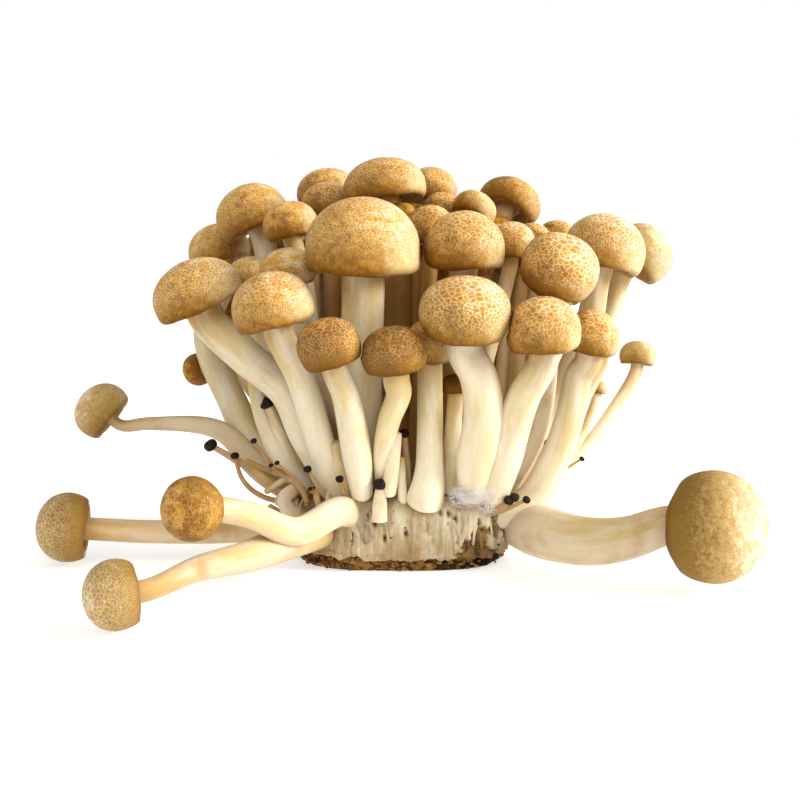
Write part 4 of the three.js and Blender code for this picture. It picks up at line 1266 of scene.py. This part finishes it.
def grow_strands(matted, half_y, dice):
    """Strands all round the root mass and cords down its front, both grown into its wall."""
    master = ring_stack("master_strand", 12, rod_stations(20, 0.08, 0.08))
    strands = []
    for number in range(STRANDS):
        turn = dice.uniform(0, TURN)
        lean = dice.uniform(-0.1, 0.1)
        low, high = dice.uniform(4.2, 8) * MM, dice.uniform(10.5, 16) * MM
        radius = dice.choice([0.35, 0.5, 0.7, 1.0]) * MM
        route = [on_wall(turn, low), on_wall(turn + 0.4 * lean, (low + high) / 2), on_wall(turn + lean, high)]
        strand = copy_of(master, f"strand_{number}")
        lay_along(strand, route, tapered(radius, 0.7, 1.2), dice, dice.uniform(0.05, 0.3), 0.12)
        strands.append(strand)
    cords = []
    for number, (radius, tone, points) in enumerate(CORDS):
        route = [on_wall(math.atan2(-half_y, px * MM), pz * MM) for px, pz in points]
        cord = copy_of(master, f"cord_{number}")
        lay_along(cord, route, tapered(radius * MM, 0.8, 1.15), dice, 0.08 + tone * 0.3, 0.2)
        cords.append(cord)
    bpy.data.objects.remove(master)
    for strand in strands + cords:
        press_to_wall(strand, STRAND_FLATNESS)
        browned = 1.6 * levels_of(strand, "fibre_look")[:, 1] - 0.1
        store(strand, "root_look", np.stack([browned, 0 * browned, 0 * browned], 1))
    finish_piece("grown_in_strands", strands + cords, matted, "stem_flesh")


def on_wall(turn, height):
    reach = float(wall_reach(turn)) * STRAND_SEAT
    return Vector((reach * math.cos(turn), reach * math.sin(turn), height))


def press_to_wall(piece, flatness):
    """Flattens a strand against the upright wall that it has grown into."""
    points = points_of(piece)
    angle = np.arctan2(points[:, 1], points[:, 0])
    wall = wall_reach(angle)
    reach = wall + (np.hypot(points[:, 0], points[:, 1]) - wall) * flatness
    set_points(piece, np.stack([reach * np.cos(angle), reach * np.sin(angle), points[:, 2]], 1))


def make_mould():
    """The cottony web over the feet of the front stems: fine threads that cross each other."""
    shaft = [(1, height) for height in np.linspace(0.1, 0.9, 5)]
    master = ring_stack("master_mould_thread", 4, [(0.5, 0), *shaft, (0.5, 1)])
    dice = random.Random(83)
    threads = []
    for number in range(MOULD_THREADS):
        middle, half = MOULD[number % len(MOULD)]
        turn, reach = dice.uniform(0, TURN), dice.uniform(0, 1) ** 0.8
        heading, stride = dice.uniform(0, TURN), dice.uniform(0.25, 0.7)
        route = []
        for step in (-0.5, 0, 0.5):
            across = reach * math.cos(turn) + step * stride * math.cos(heading) + dice.uniform(-0.1, 0.1)
            up = reach * math.sin(turn) + step * stride * math.sin(heading) + dice.uniform(-0.1, 0.1)
            out = math.sqrt(max(0, 1 - 0.7 * (across**2 + up**2))) + dice.uniform(-0.25, 0.25)
            x, y, z = middle
            route.append(metres((x + half[0] * across, y - half[1] * out, z + half[2] * up)))
        thread = copy_of(master, f"mould_thread_{number}")
        lay_along(thread, route, tapered(dice.uniform(MOULD_FINEST, MOULD_COARSEST) * MM, 1, 0.7), dice)
        threads.append(thread)
    bpy.data.objects.remove(master)
    finish_piece("mould_web", threads, mould_white(), "stem_flesh", angle=80)


def make_foot():
    """The slab of growing medium that the cluster stands on."""
    half_x, half_y, top = foot_size()
    wall = [(0.93, 0), (0.955, 0.06), (0.975, 0.2), (0.985, 0.4), (0.985, 0.6), (0.98, 0.8), (0.96, 1.0)]
    foot = ring_stack("foot", 240, [(0.5, 0), (0.8, 0)] + wall + [(0.7, 1.0), (0.4, 1.0)])
    unit = points_of(foot)
    angle = np.arctan2(unit[:, 1], unit[:, 0])
    rough = fractal(np.stack([np.cos(angle), np.sin(angle), 0.2 * unit[:, 2]], 1), 14, 3, 0.9)
    oval = np.hypot(half_x * np.cos(angle), half_y * np.sin(angle))
    reach = np.hypot(unit[:, 0], unit[:, 1]) * squared(angle) * oval * (1 + 0.02 * rough - 0.012)
    set_points(foot, np.stack([reach * np.cos(angle), reach * np.sin(angle), top * unit[:, 2]], 1))
    finish_piece("foot", [foot], growing_medium(), "substrate", "substrate_foot")


def make_crumbs():
    """Loose crumbs that cling to the slab, and a few that strayed up on the root mass."""
    pick_nothing()
    bpy.ops.mesh.primitive_ico_sphere_add(subdivisions=1, radius=1)
    master = bpy.context.view_layer.objects.active
    dice = random.Random(47)
    crumbs = []
    for number in range(CRUMBS):
        turn = dice.uniform(0, TURN)
        stray = number % STRAY_CRUMB == 0
        height = dice.uniform(5, 14) * MM if stray else dice.uniform(0.4, 4.4) * MM
        size = dice.uniform(0.15, 0.4) * MM if stray else dice.uniform(0.25, 0.75) * MM
        out = float(wall_reach(turn)) / CROWN_OVER_FOOT * (1.02 if stray else 0.972)
        height = max(height, size)
        crumb = copy_of(master, f"crumb_{number}")
        points = points_of(crumb)
        points *= np.array([dice.uniform(0.6, 1.3), dice.uniform(0.6, 1.3), dice.uniform(0.5, 1.0)]) * size
        points *= 1 + 0.25 * np.array([[dice.uniform(-1, 1)] for _ in points])
        points = points + np.array((out * math.cos(turn), out * math.sin(turn), height))
        points[:, 2] = np.clip(points[:, 2], 0, None)
        set_points(crumb, points)
        brown = dice.uniform(0, 1) ** 1.5 * (0.4 if stray else 1)
        store(crumb, "crumb_look", np.full((len(points), 3), brown))
        crumbs.append(crumb)
    bpy.data.objects.remove(master)
    piece = one_piece("sawdust_crumbs", crumbs)
    piece.data.materials.append(crumb_brown())
    hand_over(piece, "substrate")


# ---------------------------------------------------------------- stage, light and camera
def make_world():
    """A soft grey studio that shows as plain white behind the object."""
    world = bpy.data.worlds.new("studio")
    world.use_nodes = True
    nodes, links = world.node_tree.nodes, world.node_tree.links
    direction, seen = nodes.new("ShaderNodeTexCoord"), nodes.new("ShaderNodeLightPath")
    facing, rise = nodes.new("ShaderNodeVectorMath"), nodes.new("ShaderNodeMapRange")
    facing.operation = "DOT_PRODUCT"
    facing.inputs[1].default_value = Vector(SKY_TOWARDS).normalized()
    brighter = nodes.new("ShaderNodeMath")
    brighter.operation = "MAXIMUM"
    dark_side, bright_side = SKY_LIGHT
    limits = {"From Min": -0.6, "From Max": 0.9, "To Min": dark_side, "To Max": bright_side}
    for socket, value in limits.items():
        rise.inputs[socket].default_value = value
    links.new(direction.outputs["Generated"], facing.inputs[0])
    links.new(facing.outputs["Value"], rise.inputs["Value"])
    links.new(rise.outputs[0], brighter.inputs[0])
    links.new(seen.outputs["Is Camera Ray"], brighter.inputs[1])
    links.new(brighter.outputs[0], nodes["Background"].inputs["Strength"])
    nodes["Background"].inputs["Color"].default_value = (1, 1, 1, 1)
    bpy.context.scene.world = world


def make_stage():
    pick_nothing()
    bpy.ops.mesh.primitive_plane_add(size=60)
    floor = bpy.context.view_layer.objects.active
    floor.name = "studio_floor"
    floor.data.materials.append(pale_floor())
    make_world()
    for name, towards, strength, softness, colour in LAMPS:
        data = bpy.data.lights.new(name, "SUN")
        data.energy, data.angle, data.color = strength, math.radians(softness), colour
        lamp = bpy.data.objects.new(name, data)
        lamp.rotation_euler = Vector(towards).to_track_quat("Z", "Y").to_euler()
        bpy.context.scene.collection.objects.link(lamp)

    camera = bpy.data.objects.new("camera", bpy.data.cameras.new("camera"))
    camera.data.lens, camera.data.sensor_width = LENS, SENSOR
    camera.data.clip_start, camera.data.clip_end = 0.01, 90
    camera.location = CAMERA_PLACE
    camera.rotation_euler = (math.radians(90 - CAMERA_DIP), 0, 0)
    bpy.context.scene.collection.objects.link(camera)
    bpy.context.scene.camera = camera
    bpy.context.scene.view_settings.view_transform = "Standard"


make_stage()
all_caps, skin_material = make_caps()
stem_material = make_stems(all_caps)
make_runts_and_pins(stem_material)
make_young_ones(all_caps, skin_material, stem_material)
make_crown()
make_mould()
make_foot()
make_crumbs()
